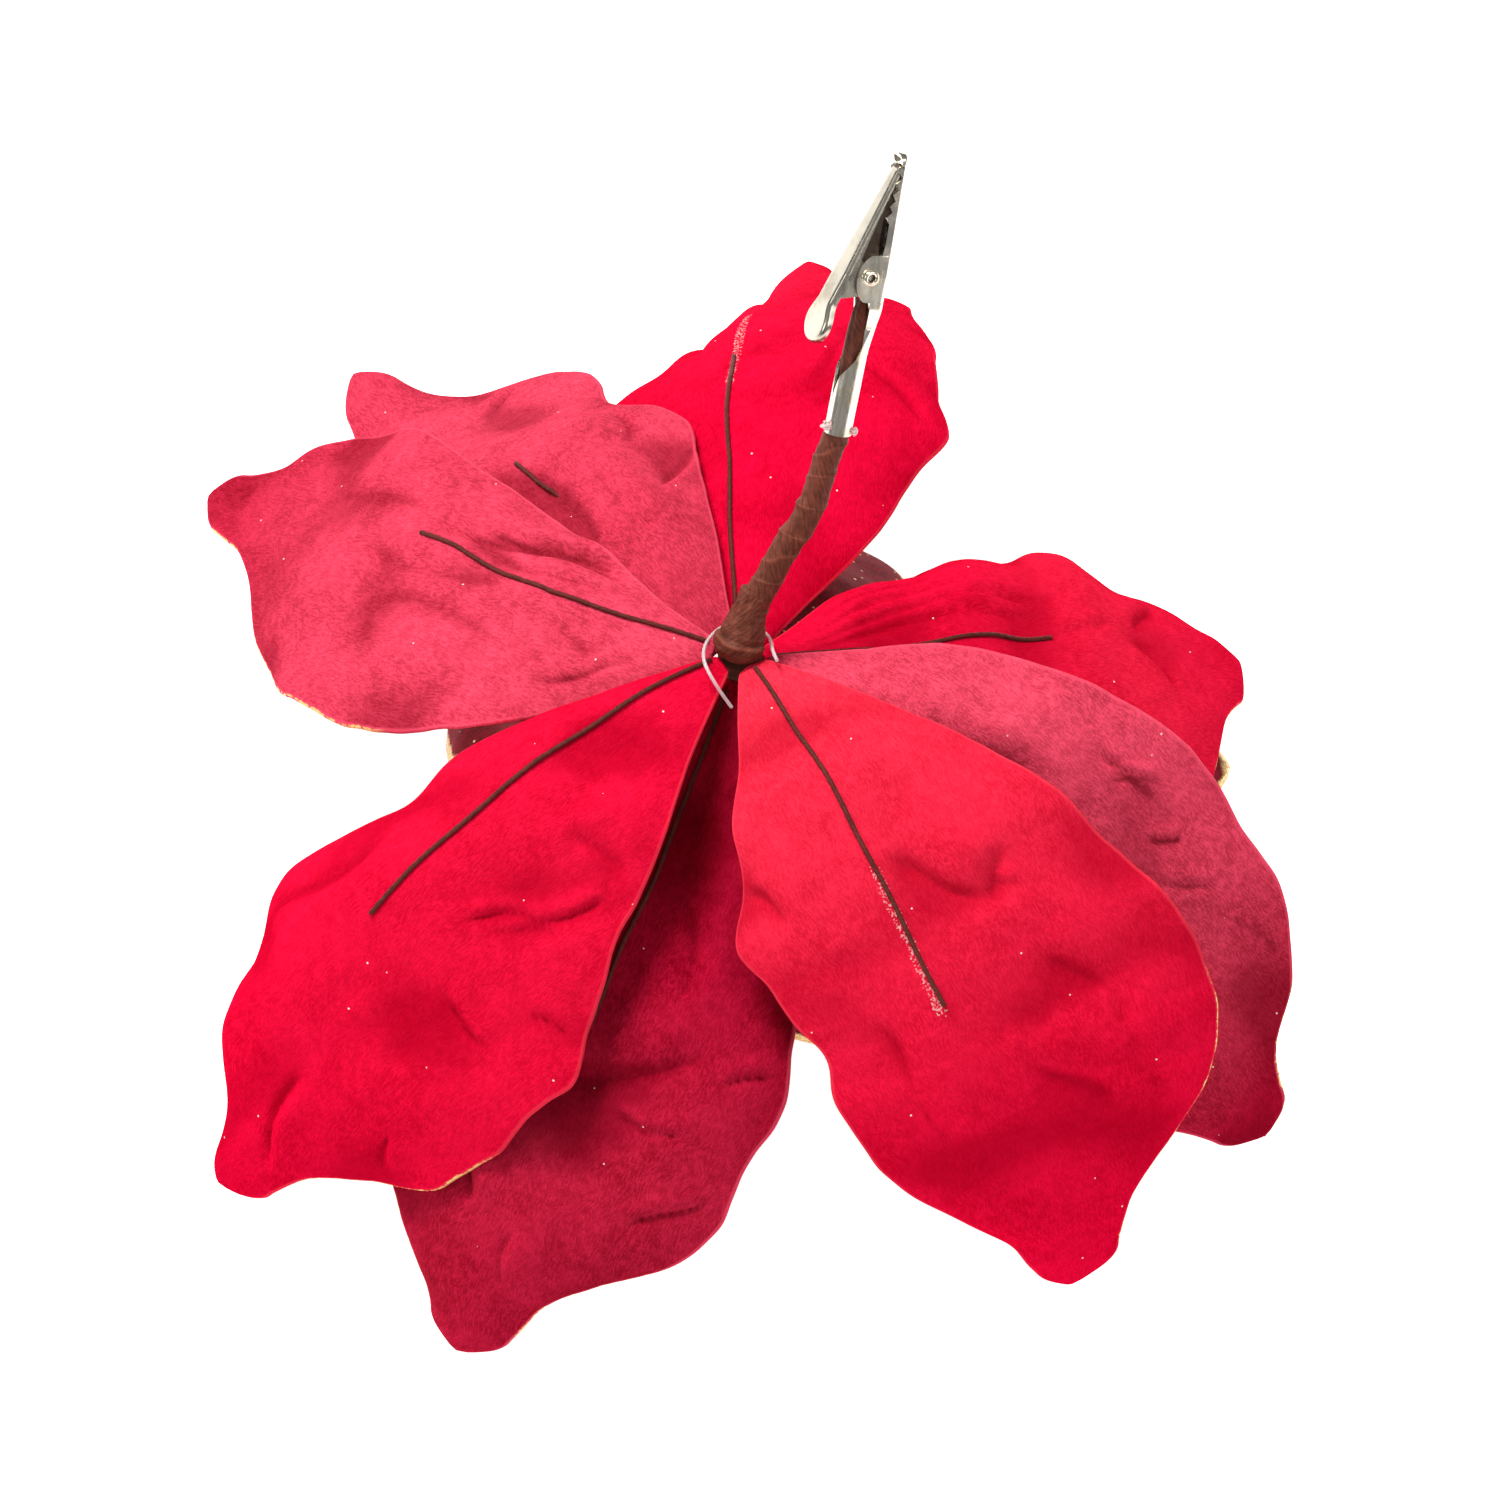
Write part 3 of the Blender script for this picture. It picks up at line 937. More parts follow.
def wire_sway(name, s):
    """How far the petal's wire lies off the centreline at s, in millimetres."""
    return np.interp(s, (0.0, 0.5 * WIRE_REACH[name], WIRE_REACH[name]), WIRE_SWAY[name])


def glue_marks(name, s, x):
    """Dried glue on both sides of the wire, full to 0.8 mm from its middle, over the smeared stretches."""
    total = np.zeros_like(x)
    for s0, s1, strength in GLUE_SMEARS.get(name, []):
        reach = smooth(s0 - 0.03, s0 + 0.02, s) * smooth(s1 + 0.03, s1 - 0.01, s)
        sway = wire_sway(name, s)
        beside = np.exp(-(np.maximum(np.abs(x - sway) - 0.8, 0) / 0.8) ** 2)
        total = np.maximum(total, strength * reach * beside)
    return total


def gilt_marks(name, s, t):
    """Share of glitter at the cut edge over the petal's gilt stretches."""
    total = np.zeros_like(s)
    for side, s0, s1 in GILT.get(name, []):
        reach = smooth(s0 - 0.03, s0 + 0.03, s) * smooth(s1 + 0.02, s1 - 0.02, s)
        total = np.maximum(total, (np.sign(t) == side) * reach)
    return total


def make_petal(name, values, blade, seed, materials, node, rows=176, columns=121):
    """Closed velvet sheet: back and face half a thickness either side of the middle, joined by the cut edge."""
    settings = bpy.context.scene.flower_petals
    p = petal_values(name, values, blade)
    half = settings.thickness / MM / 2
    s = 0.5 - 0.5 * np.cos(np.linspace(0.0, 1.0, rows) * math.pi)
    s = (0.35 * s + 0.65 * np.linspace(0, 1, rows))[:, None]
    t = np.sin(np.linspace(-1, 1, columns) * math.pi / 2) * 0.35 + np.linspace(-1, 1, columns) * 0.65
    t = np.where(np.abs(t) < 1e-9, 1e-9, t)[None, :] * (1 + 0 * s)
    s = s + 0 * t
    stretch = 1 + edge_wobble(seed, s) * np.abs(t) ** 3
    thin = np.sqrt(np.clip(1 - (np.clip(s - 0.985, 0, 1) / 0.015) ** 2, 0, 1)) * np.sqrt(np.clip(s / 0.01, 0, 1))
    back, relief, w, length = petal_surface(name, p, blade, seed, s, t * stretch, half * thin)
    face, _, _, _ = petal_surface(name, p, blade, seed, s, t * stretch, -half * thin)
    middle = (back + face) / 2
    outwards = middle - np.roll(middle, 1, axis=1)
    outwards[:, 0] = middle[:, 0] - middle[:, 1]
    outwards /= np.maximum(np.linalg.norm(outwards, axis=2, keepdims=True), 1e-9)
    rim = middle + outwards * (half * thin)[..., None]
    grid = np.concatenate([back, rim[:, -1:], face[:, ::-1], rim[:, :1]], axis=1)
    x, y = t * w, s * length
    edge = np.minimum((1 - np.abs(t)) * w, (1 - s) * length * 1.2)
    around = lambda a: np.concatenate([a, a[:, -1:], a[:, ::-1], a[:, :1]], axis=1)
    slot_row = np.concatenate([np.zeros(columns - 1), [0, 1], np.ones(columns - 1), [1, 0]])
    slots = np.broadcast_to(slot_row, (rows - 1, grid.shape[1])).reshape(-1)
    hollow = np.clip(-relief / HOLLOW_DEPTH, 0, 1) ** 1.3
    brushed = np.interp(s, BLOOM_AT, BLOOM.get(name, (0, 0, 0, 0)))
    surface = Surface(("velvet_" if blade is BLADE else "inner_velvet_") + name)
    surface.add(grid, around(np.stack([x, y], -1) / 10.0), wrap_columns=True, slot=slots, edge=around(edge),
                hollow=around(hollow), glue=around(glue_marks(name, s, x)), gilt=around(gilt_marks(name, s, t)),
                bloom=around(brushed))
    piece = surface.build(materials)
    body = "petal_" + name + "_body" if blade is BLADE else "flower_head"
    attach(piece, body)
    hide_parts(node)
    reach = np.linspace(0, 1, 200)
    widths = sum(half_widths(p, blade, reach, np.full(200, side)) for side in (-1.0, 1.0))
    return piece


def make_petal_wire(name, values, seed):
    """Paper-wound wire glued along the petal's back, from the calyx to its reach, a little uneven."""
    settings = bpy.context.scene.flower_petals
    p = petal_values(name, values, BLADE)
    radius = settings.wire / MM / 2
    s = np.linspace(0.015, WIRE_REACH[name], 150)[:, None]
    width = half_widths(p, BLADE, s, np.ones_like(s))
    across = wire_sway(name, s) / width + 0.006 * np.sin(s * 33.0 + seed)
    across = np.where(np.abs(across) < 1e-9, 1e-9, across)
    lift = settings.thickness / MM / 2 + radius * 0.72
    if name in WIRE_HIDDEN:
        lift = lift - smooth(WIRE_HIDDEN[name], WIRE_HIDDEN[name] - 0.03, s)
    path = petal_surface(name, p, BLADE, seed, s, across, lift)[0][:, 0]
    path += np.random.default_rng(seed).normal(0, 0.012, path.shape)
    angle = np.arange(12) * TURN / 12
    twist = 0.07 * np.sin(2 * (angle[None, :] - along(path)[:, None] * 1.9))
    grid = tube_grid(path, radius * (1 + twist), 12)
    surface = Surface("petal_wire_" + name)
    surface.add(grid, tube_uv(path, 12, radius), wrap_columns=True, worn=0.0)
    piece = surface.build([finish("petal_wire")])
    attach(piece, "petal_" + name + "_body")
    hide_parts("wire_" + name)
    return piece


class FLOWER_OT_petals(bpy.types.Operator):
    """Make the eight wired velvet petals."""
    bl_idname = "flower.petals"
    bl_label = "Velvet petals"

    def execute(self, context):
        for k, (name, values) in enumerate(PETALS.items()):
            back = finish("velvet_bright" if name in BRIGHT_PETALS else "velvet_crimson")
            piece = make_petal(name, values, BLADE, k + 1, [back, finish("velvet_burgundy")], "petal_" + name)
            wire = make_petal_wire(name, values, k + 1)
        return {"FINISHED"}


class FLOWER_OT_inner_petals(bpy.types.Operator):
    """Make the five smaller petals round the centre."""
    bl_idname = "flower.inner_petals"
    bl_label = "Inner petals"

    def execute(self, context):
        face = finish("velvet_burgundy")
        for k, (name, values) in enumerate(INNER_PETALS.items()):
            piece = make_petal(name, values, INNER_BLADE, k + 21, [face, face], "inner_petal_" + name, 110, 73)
        return {"FINISHED"}


# ------------------------------------------------------------------ calyx, stem and centre
def stem_path():
    """Centreline of the stem from inside the calyx to the clip's barrel, rounded at its two bends."""
    a = CALYX - unit(RUN_LOWER) * 1.0
    b = CALYX + unit(RUN_LOWER) * STEM_RUNS[0]
    c = STEM_BEND
    d = c + unit(RUN_UPPER) * (STEM_RUNS[1] + 0.6)
    corners = np.array([a, b, c, d])
    x = np.linspace(0, along(corners)[-1], 260)
    path = np.stack([np.interp(x, along(corners), corners[:, k]) for k in range(3)], -1)
    kernel = np.hanning(37)
    kernel /= kernel.sum()
    padded = np.concatenate([2 * path[0] - path[18:0:-1], path, 2 * path[-1] - path[-2:-20:-1]])
    path = np.stack([np.convolve(padded[:, k], kernel, "valid") for k in range(3)], -1)
    share = np.linspace(0, 1, len(path))
    bow = np.sin(math.pi * share ** 1.1) ** 2 * smooth(0.02, 0.3, share)
    return path + bow[:, None] * np.array(STEM_BOW)


def make_stem():
    """Taped stem: a tube with the overlapping edges of the tape's winding as low diagonal steps, and two lumps."""
    settings = bpy.context.scene.flower_stem
    path = stem_path()
    around, y = 40, along(path)
    angle = turns(around)
    length = y[-1]
    base = np.interp(y, STEM_AT + [length * 0.72, length], STEM_RADII + [STEM_RADIUS_HIGH, settings.upper / MM / 2])
    wind = (y[:, None] / TAPE_PITCH - angle / TURN + 0.15 * np.sin(y[:, None] * 0.9)) % 1.0
    step = TAPE_EDGE * (wind ** 3 - 0.25)
    lump = sum(size * np.exp(-((y[:, None] - at) / spread) ** 2) * smooth(-0.2, 1.0, np.cos(angle - turn))
               for size, at, spread, turn in STEM_LUMPS)
    rough = 0.05 * ripple(7, angle * base[:, None], y[:, None] * 0.8, 8, 1.2, 4.5)
    radius = base[:, None] + step + lump + rough
    surface = Surface("stem_tape")
    worn = smooth(0.90, 0.99, wind) * 0.35
    worn = np.concatenate([worn[:1], worn, worn[-1:]])
    surface.add(tube_grid(path, radius, around), tube_uv(path, around, 2.4), wrap_columns=True, worn=worn)
    piece = surface.build([finish("stem_tape")])
    reach = unit(RUN_UPPER) * 0.0022
    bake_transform(piece)
    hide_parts("stem_tape_lower", "stem_tape_upper")


def make_calyx():
    """Tape gathered at the stem's foot: a cone with a rolled, cracked rim at its base."""
    axis = unit(RUN_LOWER)
    side = unit(np.cross(axis, [0.0, 0.0, 1.0]))
    up = np.cross(side, axis)
    around = 72
    angle = turns(around)
    profile = np.array(CALYX_PROFILE)
    fine = np.linspace(0, len(profile) - 1, 110)
    height = np.interp(fine, np.arange(len(profile)), profile[:, 0])[:, None]
    radius = np.interp(fine, np.arange(len(profile)), profile[:, 1])[:, None]
    kernel = np.hanning(9) / np.hanning(9).sum()
    radius[4:-4, 0] = np.convolve(radius[:, 0], kernel, "valid")
    fold = 0.10 * np.sin(angle * 5 + height * 1.3) + 0.05 * np.sin(angle * 11 - height * 0.8)
    layers = 0.10 * ((height / 1.7 - angle / TURN) % 1.0) ** 2
    crack = -0.22 * np.exp(-np.abs(height - 0.62 - 0.25 * np.sin(angle * 3)) / 0.14)
    rough = fold + layers + crack + 0.05 * ripple(3, angle * 4, height, 6, 1.0, 3.0)
    radius = np.maximum(radius + rough * smooth(0, 1.5, radius), 0)
    ring = np.cos(angle)[..., None] * side + np.sin(angle)[..., None] * up
    grid = CALYX + height[..., None] * axis + radius[..., None] * ring
    uv = stacked(angle * 3.4, height) / 10.0
    worn = 0.55 * np.exp(-((height - 0.15 - 0.2 * np.sin(angle * 3)) / 0.22) ** 2)
    surface = Surface("calyx_tape_wrap")
    surface.add(grid, uv, wrap_columns=True, worn=np.broadcast_to(worn, grid.shape[:2]))
    piece = surface.build([finish("stem_tape")])
    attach(piece, "flower_head")
    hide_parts("calyx_tape")


class FLOWER_OT_stem(bpy.types.Operator):
    """Make the calyx and the taped stem."""
    bl_idname = "flower.stem"
    bl_label = "Calyx and stem"

    def execute(self, context):
        make_calyx()
        make_stem()
        return {"FINISHED"}


def make_stamens():
    """Twelve curved filaments round the centre, each with a bent anther; a filament's tip leans outwards."""
    box = np.array(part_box("stamens")) / MM
    low, high = box[0], box[1]
    reach = (high[0] - low[0]) / 2 - 1.6
    surface = Surface("stamen_ring")
    top = high[2] - 1.0
    for k in range(STAMEN_COUNT):
        a = TURN * k / STAMEN_COUNT + 0.08 * math.sin(k * 5.0)
        out = np.array([math.cos(a), math.sin(a), 0.0])
        x = np.linspace(0, 1, 22)[:, None]
        drop = top + (low[2] + 1.6 - top) * x
        foot = np.array([ORIGIN[0], ORIGIN[1], 0.0])
        path = foot + out * (reach - 4.2 * (1 - x) ** 1.5) + np.array([0, 0, 1.0]) * drop
        path = path + np.array([-out[1], out[0], 0.0]) * 0.7 * np.sin(x * 3.0 + k)
        surface.add(tube_grid(path, 0.42 - 0.12 * x[:, 0], 10), tube_uv(path, 10, 0.4), wrap_columns=True)
        tip = path[-1]
        lean = unit(out + np.array([0, 0, -0.6]))
        y = np.linspace(-1, 1, 14)
        bean = tip + lean * (y * 1.25)[:, None]
        plump = 0.75 * np.sqrt(np.clip(1 - (y * 0.97) ** 2, 0, 1)) + 0.05
        surface.add(tube_grid(bean, plump, 12), tube_uv(bean, 12, 0.7), wrap_columns=True)
    piece = surface.build([finish("stamen_gold")])
    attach(piece, "flower_head")
    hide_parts("stamens")


def make_centre():
    """Seeded centre: a dome whose surface rises in small pips along two sets of spirals."""
    low, high = (np.array(v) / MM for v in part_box("flower_centre"))
    mid, half = (low + high) / 2, (high - low) / 2
    up = np.linspace(-1, 1, 90)[:, None]
    angle = turns(120)
    ring = np.sqrt(np.clip(1 - up ** 2, 0, 1))
    pips = 0.055 * np.maximum(0, np.sin(13 * angle + 14 * up)) * np.maximum(0, np.sin(-13 * angle + 14 * up) + 0.4)
    size = (0.94 + pips * smooth(0.0, 0.25, ring))
    grid = mid + np.stack([half[0] * ring * np.cos(angle) * size, half[1] * ring * np.sin(angle) * size,
                           half[2] * up * size + 0 * angle], -1)
    surface = Surface("seeded_centre")
    surface.add(grid, wrap_columns=True)
    piece = surface.build([finish("centre_foam")])
    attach(piece, "flower_head")
    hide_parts("flower_centre")


class FLOWER_OT_centre(bpy.types.Operator):
    """Make the seeded centre, the stamens and the finish of the core."""
    bl_idname = "flower.centre"
    bl_label = "Flower centre"

    def execute(self, context):
        make_centre()
        make_stamens()
        core = frame["nodes"]["flower_core"]
        for slot in core.material_slots:
            slot.material = finish("core_tape")
        return {"FINISHED"}


# ------------------------------------------------------------------ the clip
def lever_top(x):
    """Height of the lever's plate over the pivot's line, with the flatter paddle behind and a soft turn between."""
    slope, flat = math.tan(math.radians(LEVER_SLOPE)), math.tan(math.radians(PADDLE_SLOPE))
    ahead = LEVER_NOSE_TOP + (LEVER_FRONT - x) * slope
    behind = -PADDLE_START - x
    turn = 0.5 * (behind + np.sqrt(behind ** 2 + 0.6))
    return ahead - turn * (slope - flat)


def lever_half_width(x):
    """Half width of the lever's plate, tapered from the pivot to the nose."""
    return (LEVER_PIVOT_WIDTH + (LEVER_NOSE_WIDTH - LEVER_PIVOT_WIDTH) * np.clip(x / LEVER_FRONT, 0, 1)) / 2


def zigzag(x, first, count, base, sign):
    """Saw edge: TOOTH_DEPTH deep teeth of TOOTH_PITCH behind first, on a line that rises towards the pivot."""
    line = base + TOOTH_RISE / (TOOTH_FRONT - TEETH_REAR) * (TOOTH_FRONT - x)
    phase = np.clip((first - x) / TOOTH_PITCH, 0, count)
    tooth = 1 - np.abs(2 * (phase % 1.0) - 1)
    return line + sign * TOOTH_DEPTH * tooth


def lever_bottom(x):
    """Lower edge of the lever's folded sides: teeth, throat, ears on the rivet, and the paddle's shallow rim."""
    top = lever_top(x)
    first = TOOTH_FRONT - TOOTH_PITCH / 2
    last = first - TOOTH_PITCH * (TOOTH_COUNT - 1)
    base = -JAW_FLOOR + SHEET + 0.9
    teeth = zigzag(x, first, TOOTH_COUNT - 1, base, -1)
    end = float(zigzag(np.array(last), first, TOOTH_COUNT - 1, base, -1))
    throat = np.interp(x, [1.3, 5.1, TEETH_REAR, last], [-1.45, -0.85, end + 0.15, end])
    ear = -np.sqrt(np.clip(LEVER_EAR_RADIUS ** 2 - x ** 2, 0, None))
    rear = np.interp(x, [-6.5, -PADDLE_START + 1.4, -LEVER_EAR_RADIUS - 1.35, -1.7], [9.0, 9.0, 0.1, -0.9])
    rear = np.minimum(rear, top - LEVER_RIM)
    value = np.where(x > last, teeth, throat)
    value = np.where(x < 1.3, ear, value)
    value = np.where(x < -1.7, rear, value)
    return np.minimum(value, top - 0.9)


def lever_outline():
    """Outline of the lever from above, closed: nose, straight taper, neck and the round thumb paddle."""
    x = np.concatenate([[LEVER_FRONT - 0.02], np.arange(LEVER_FRONT - 0.12, -4.7, -0.0925)])
    half = lever_half_width(x) - 0.28 * np.exp(-np.clip(LEVER_FRONT - x, 0, 9) / 0.22)
    radius, middle = PADDLE_WIDTH / 2, -LEVER_REAR + PADDLE_WIDTH / 2
    start = math.radians(72)
    join_x, join_y = middle + radius * math.cos(start), radius * math.sin(start)
    blend_x = np.linspace(-4.8, join_x, 30)[:-1]
    share = (blend_x + 4.8) / (join_x + 4.8)
    slope = math.cos(start) / math.sin(start) * (join_x + 4.8) * -1
    neck = LEVER_PIVOT_WIDTH / 2
    blend_y = neck + (join_y - neck) * (3 * share ** 2 - 2 * share ** 3) + slope * (share ** 3 - share ** 2)
    arc = np.linspace(start, math.pi, 60)
    right = np.stack([np.concatenate([x, blend_x, middle + radius * np.cos(arc)]),
                      np.concatenate([half, blend_y, radius * np.sin(arc)])], -1)
    front = np.stack([np.full(6, LEVER_FRONT), np.linspace(0.0, right[0, 1] - 0.12, 6)], -1)
    right = np.concatenate([front, right])
    left = right[::-1][1:-1] * [1, -1]
    return np.concatenate([right, left])


def make_lever():
    """Pressed lever: from the plate's middle over a round fold, down the side to its toothed edge, back inside."""
    fold = bpy.context.scene.flower_clip.fold / MM
    outline = lever_outline()
    run = np.roll(outline, -1, axis=0) - np.roll(outline, 1, axis=0)
    run /= np.linalg.norm(run, axis=1, keepdims=True)
    outward = np.stack([-run[:, 1], run[:, 0]], -1)
    if outward[40, 1] < 0:
        outward = -outward
    x = outline[:, 0]
    bottom = lever_bottom(x)
    front = x > LEVER_FRONT - 0.3
    bottom = np.where(front, -JAW_FLOOR + SHEET + 0.25, bottom)
    rows = []

    def shell(inset, radius, top_drop, order):
        """Points from the middle line to the lower edge, inset inwards from the outline."""
        edge = outline - outward * inset
        hub_x = np.clip(edge[:, 0], -LEVER_REAR + 3.4, LEVER_FRONT - 0.8)
        hub = np.stack([hub_x, 0 * hub_x], -1)
        inner = edge - outward * radius
        points = []
        for v in np.linspace(0, 1, 6):
            flat = hub + (inner - hub) * v
            points.append(np.stack([flat[:, 0], flat[:, 1], lever_top(flat[:, 0]) - top_drop], -1))
        for a in np.linspace(0, math.pi / 2, 9)[1:]:
            place = inner + outward * radius * math.sin(a)
            height = lever_top(inner[:, 0]) - top_drop - radius * (1 - math.cos(a))
            points.append(np.stack([place[:, 0], place[:, 1], height], -1))
        start = points[-1][:, 2]
        for v in np.linspace(0, 1, 6)[1:]:
            height = start + (np.minimum(bottom, start - 0.02) - start) * v
            points.append(np.stack([edge[:, 0], edge[:, 1], height], -1))
        rows.extend(points[::order])

    shell(0.0, fold, 0.0, 1)
    shell(SHEET, max(fold - SHEET, 0.1), SHEET, -1)
    grid = clip_to_world(np.stack(rows))
    surface = Surface("lever_plate")
    level = np.arange(grid.shape[0] - 1)[:, None]
    slots = ((level > 13) & (x[None, :] > 2.4) & (x[None, :] < LEVER_FRONT - 0.2)).astype(int).reshape(-1)
    surface.add(grid, wrap_columns=True, slot=slots)
    piece = surface.build([finish("lever_nickel"), finish("shaded_nickel")], flat_angle=50)
    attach(piece, "clip_lever")
    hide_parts("clip_lever_jaw")


def jaw_half_width(x):
    """Half width of the lower jaw: outside the lever, then narrowing to the trough and the barrel."""
    front = lever_half_width(x) + JAW_CLEARANCE + SHEET
    trough = np.interp(x, [-14.5, -8.4], [BARREL_RADIUS, 2.45])
    share = smooth(-5.2, -8.6, x)
    return front * (1 - share) + trough * share


def jaw_top(x):
    """Upper edge of the lower jaw's sides: lip, teeth, throat, ears about the rivet and the trough's walls."""
    valley = -JAW_FLOOR + SHEET + 0.05
    teeth = zigzag(x, TOOTH_FRONT, TOOTH_COUNT, valley, 1)
    nose = np.interp(x, [TOOTH_FRONT, LEVER_FRONT + 0.35, CLIP_FRONT], [valley, -2.45, -2.0])
    teeth = np.where(x > TOOTH_FRONT, nose, teeth)
    rear = float(zigzag(np.array(TEETH_REAR), TOOTH_FRONT, TOOTH_COUNT, valley, 1))
    throat = np.interp(x, [4.2, 5.4, 7.2, TEETH_REAR], [-1.6, -1.75, -1.75, rear])
    ear = -0.8 + 3.05 * np.sqrt(np.clip(1 - ((x + 0.4) / 4.2) ** 2, 0, None))
    trough = np.interp(x, [-14.5, -12.2, -8.0, -5.8, -4.55], [-0.67, -1.35, -1.25, -1.05, -0.8])
    value = np.where(x > TEETH_REAR, teeth, throat)
    value = np.where(x < 3.6, np.maximum(ear, -1.6), value)
    return np.where(x < -4.3, trough, value)


def make_lower_jaw():
    """Lower jaw as one bent sheet: each cross-section runs from the floor's middle round a corner and up the side;
    behind, the corners widen to a circle that closes along a tapering seam into the barrel."""
    tips = TOOTH_FRONT - TOOTH_PITCH * np.arange(2 * TOOTH_COUNT + 1) / 2
    x = np.unique(np.concatenate([np.arange(-CLIP_REAR, CLIP_FRONT, 0.115), tips, [CLIP_FRONT]]))[::-1][:, None]
    half = jaw_half_width(x) - 0.5 * np.exp(-(CLIP_FRONT - x) / 0.35)
    corner = 0.70 + (BARREL_RADIUS - 0.70) * smooth(-5.5, -14.3, x)
    corner = np.minimum(corner, half)
    flat = half - corner
    quarter = corner * math.pi / 2
    rise = jaw_top(x) + JAW_FLOOR
    lean = np.arccos(np.clip(1 - rise / corner, -1, 1))
    reach = np.where(rise > corner, flat + quarter + rise - corner, flat + corner * lean)
    closing = np.radians(table_curve(BARREL_CLOSING, np.clip(BARREL_START - x, 0, 14.0)))
    reach = np.where(x < BARREL_START, BARREL_RADIUS * closing, reach)
    v = np.linspace(-1, 1, 75)[None, :]
    distance, sign = np.abs(v) * reach, np.sign(v)
    round_it = (x < -9.0) | (rise < corner)
    bend = np.clip((distance - flat) / corner, 0, None)
    bend = np.where(round_it, bend, np.minimum(bend, math.pi / 2))
    straight = np.where(round_it, 0.0, np.clip(distance - flat - quarter, 0, None))
    normal_y, normal_z = sign * np.sin(bend), -np.cos(bend)
    normal_y = np.where(bend <= 0, 0.0, normal_y)
    y = sign * (np.minimum(distance, flat) + corner * np.sin(bend))
    z = -JAW_FLOOR + corner * (1 - np.cos(bend)) + straight
    outer = stacked(x, y, z)
    inward = stacked(0 * x, -normal_y, -normal_z)
    inner = outer + inward * SHEET
    middle = outer + inward * SHEET / 2
    grid = np.concatenate([outer, inner[:, ::-1]], axis=1)
    ends = [np.concatenate([m, m[::-1]])[None] for m in (middle[0], middle[-1])]
    grid = np.concatenate([ends[0], grid, ends[1]])
    surface = Surface("lower_jaw")
    surface.add(clip_to_world(grid), wrap_columns=True)
    lip = outer[0]
    centre = np.array([CLIP_FRONT, 0.0, -2.75])
    layers = [centre + (lip - centre) * k + np.array([bulge, 0, 0]) for k, bulge in NOSE_CAP]
    surface.add(clip_to_world(np.stack(layers)), wrap_columns=True)
    piece = surface.build([finish("nickel")], flat_angle=50)
    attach(piece, "clip_arm")
    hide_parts("clip_lower_jaw")


def turned_about_rivet(profile):
    """Turns (radius, offset) points about the rivet's axis."""
    radius, offset = np.asarray(profile, float).T
    angle = turns(RIVET_AROUND)
    grid = stacked(radius[:, None] * np.cos(angle), offset[:, None], radius[:, None] * np.sin(angle))
    return clip_to_world(grid)


def make_rivet():
    """Semi-tubular rivet: a shank with a rolled ring at each end round a blind bore."""
    ear = LEVER_PIVOT_WIDTH / 2 + JAW_CLEARANCE + SHEET
    profile = []
    for sign in (1, -1):
        a = np.linspace(-0.5 * math.pi, 1.25 * math.pi, 30)
        ring = np.stack([RIVET_RING + RIVET_ROLL * np.cos(a), sign * (ear + 0.13 + 0.30 * (1 + np.sin(a)))], -1)
        profile.append(ring if sign > 0 else ring[::-1])
    shank = [(RIVET_SHANK, -ear), (RIVET_SHANK, ear)]
    bore = [(0.54, ear + 0.35), (0.50, ear - 0.4), (0.0, ear - 0.5)]
    bore += [(radius, -offset) for radius, offset in reversed(bore)]
    loop = np.concatenate([profile[1], shank, profile[0], bore])
    surface = Surface("rivet_tube")
    inside = np.arange(len(loop)) >= len(loop) - len(bore)
    surface.add(turned_about_rivet(loop), wrap_rows=True, wrap_columns=True,
                slot=np.repeat(inside, RIVET_AROUND).astype(int))
    piece = surface.build([finish("nickel"), finish("shaded_nickel")])
    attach(piece, "clip_arm")
    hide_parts("clip_rivet")


def make_spring():
    """Torsion spring in two pieces: the turns with the leg on the floor, and the last turn with the lever's leg."""
    radius = bpy.context.scene.flower_clip.spring / MM / 2
    coil, pitch, first = SPRING_RADIUS, SPRING_PITCH, -1.5 + 0.3
    a = np.linspace(0, SPRING_TURNS * TURN, 260)
    y = first - 0.30 + pitch * a / TURN * 0.98
    wound = np.stack([coil * np.cos(a - 1.35), y, coil * np.sin(a - 1.35)], -1)
    floor = np.stack([np.linspace(-3.9, -1.1, 14), np.full(14, first - 0.30), np.linspace(-2.76, -2.0, 14)], -1)
    coil_path = np.concatenate([floor, wound[6:]])
    b = np.linspace(-0.3, TURN * 0.92, 90)
    y = first + SPRING_TURNS * pitch - 0.05
    last = np.stack([coil * np.cos(-b + 2.3), np.full(90, y), coil * np.sin(-b + 2.3)], -1)
    end = np.array([-5.8, y, float(lever_top(np.array(-5.8))) - SHEET - 0.62])
    leg = last[-1] + (end - last[-1]) * np.linspace(0, 1, 14)[1:, None]
    leg_path = np.concatenate([last, leg])
    for name, path, body, node in (("spring_turns", coil_path, "clip_arm", "clip_spring_coil"),
                                   ("spring_lever_leg", leg_path, "clip_lever", "clip_spring_leg")):
        path = clip_to_world(path)
        surface = Surface(name)
        thick = np.full(len(path), radius)
        surface.add(tube_grid(path, thick, 10), tube_uv(path, 10, radius), wrap_columns=True)
        piece = surface.build([finish("spring_steel")])
        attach(piece, body)
        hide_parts(node)


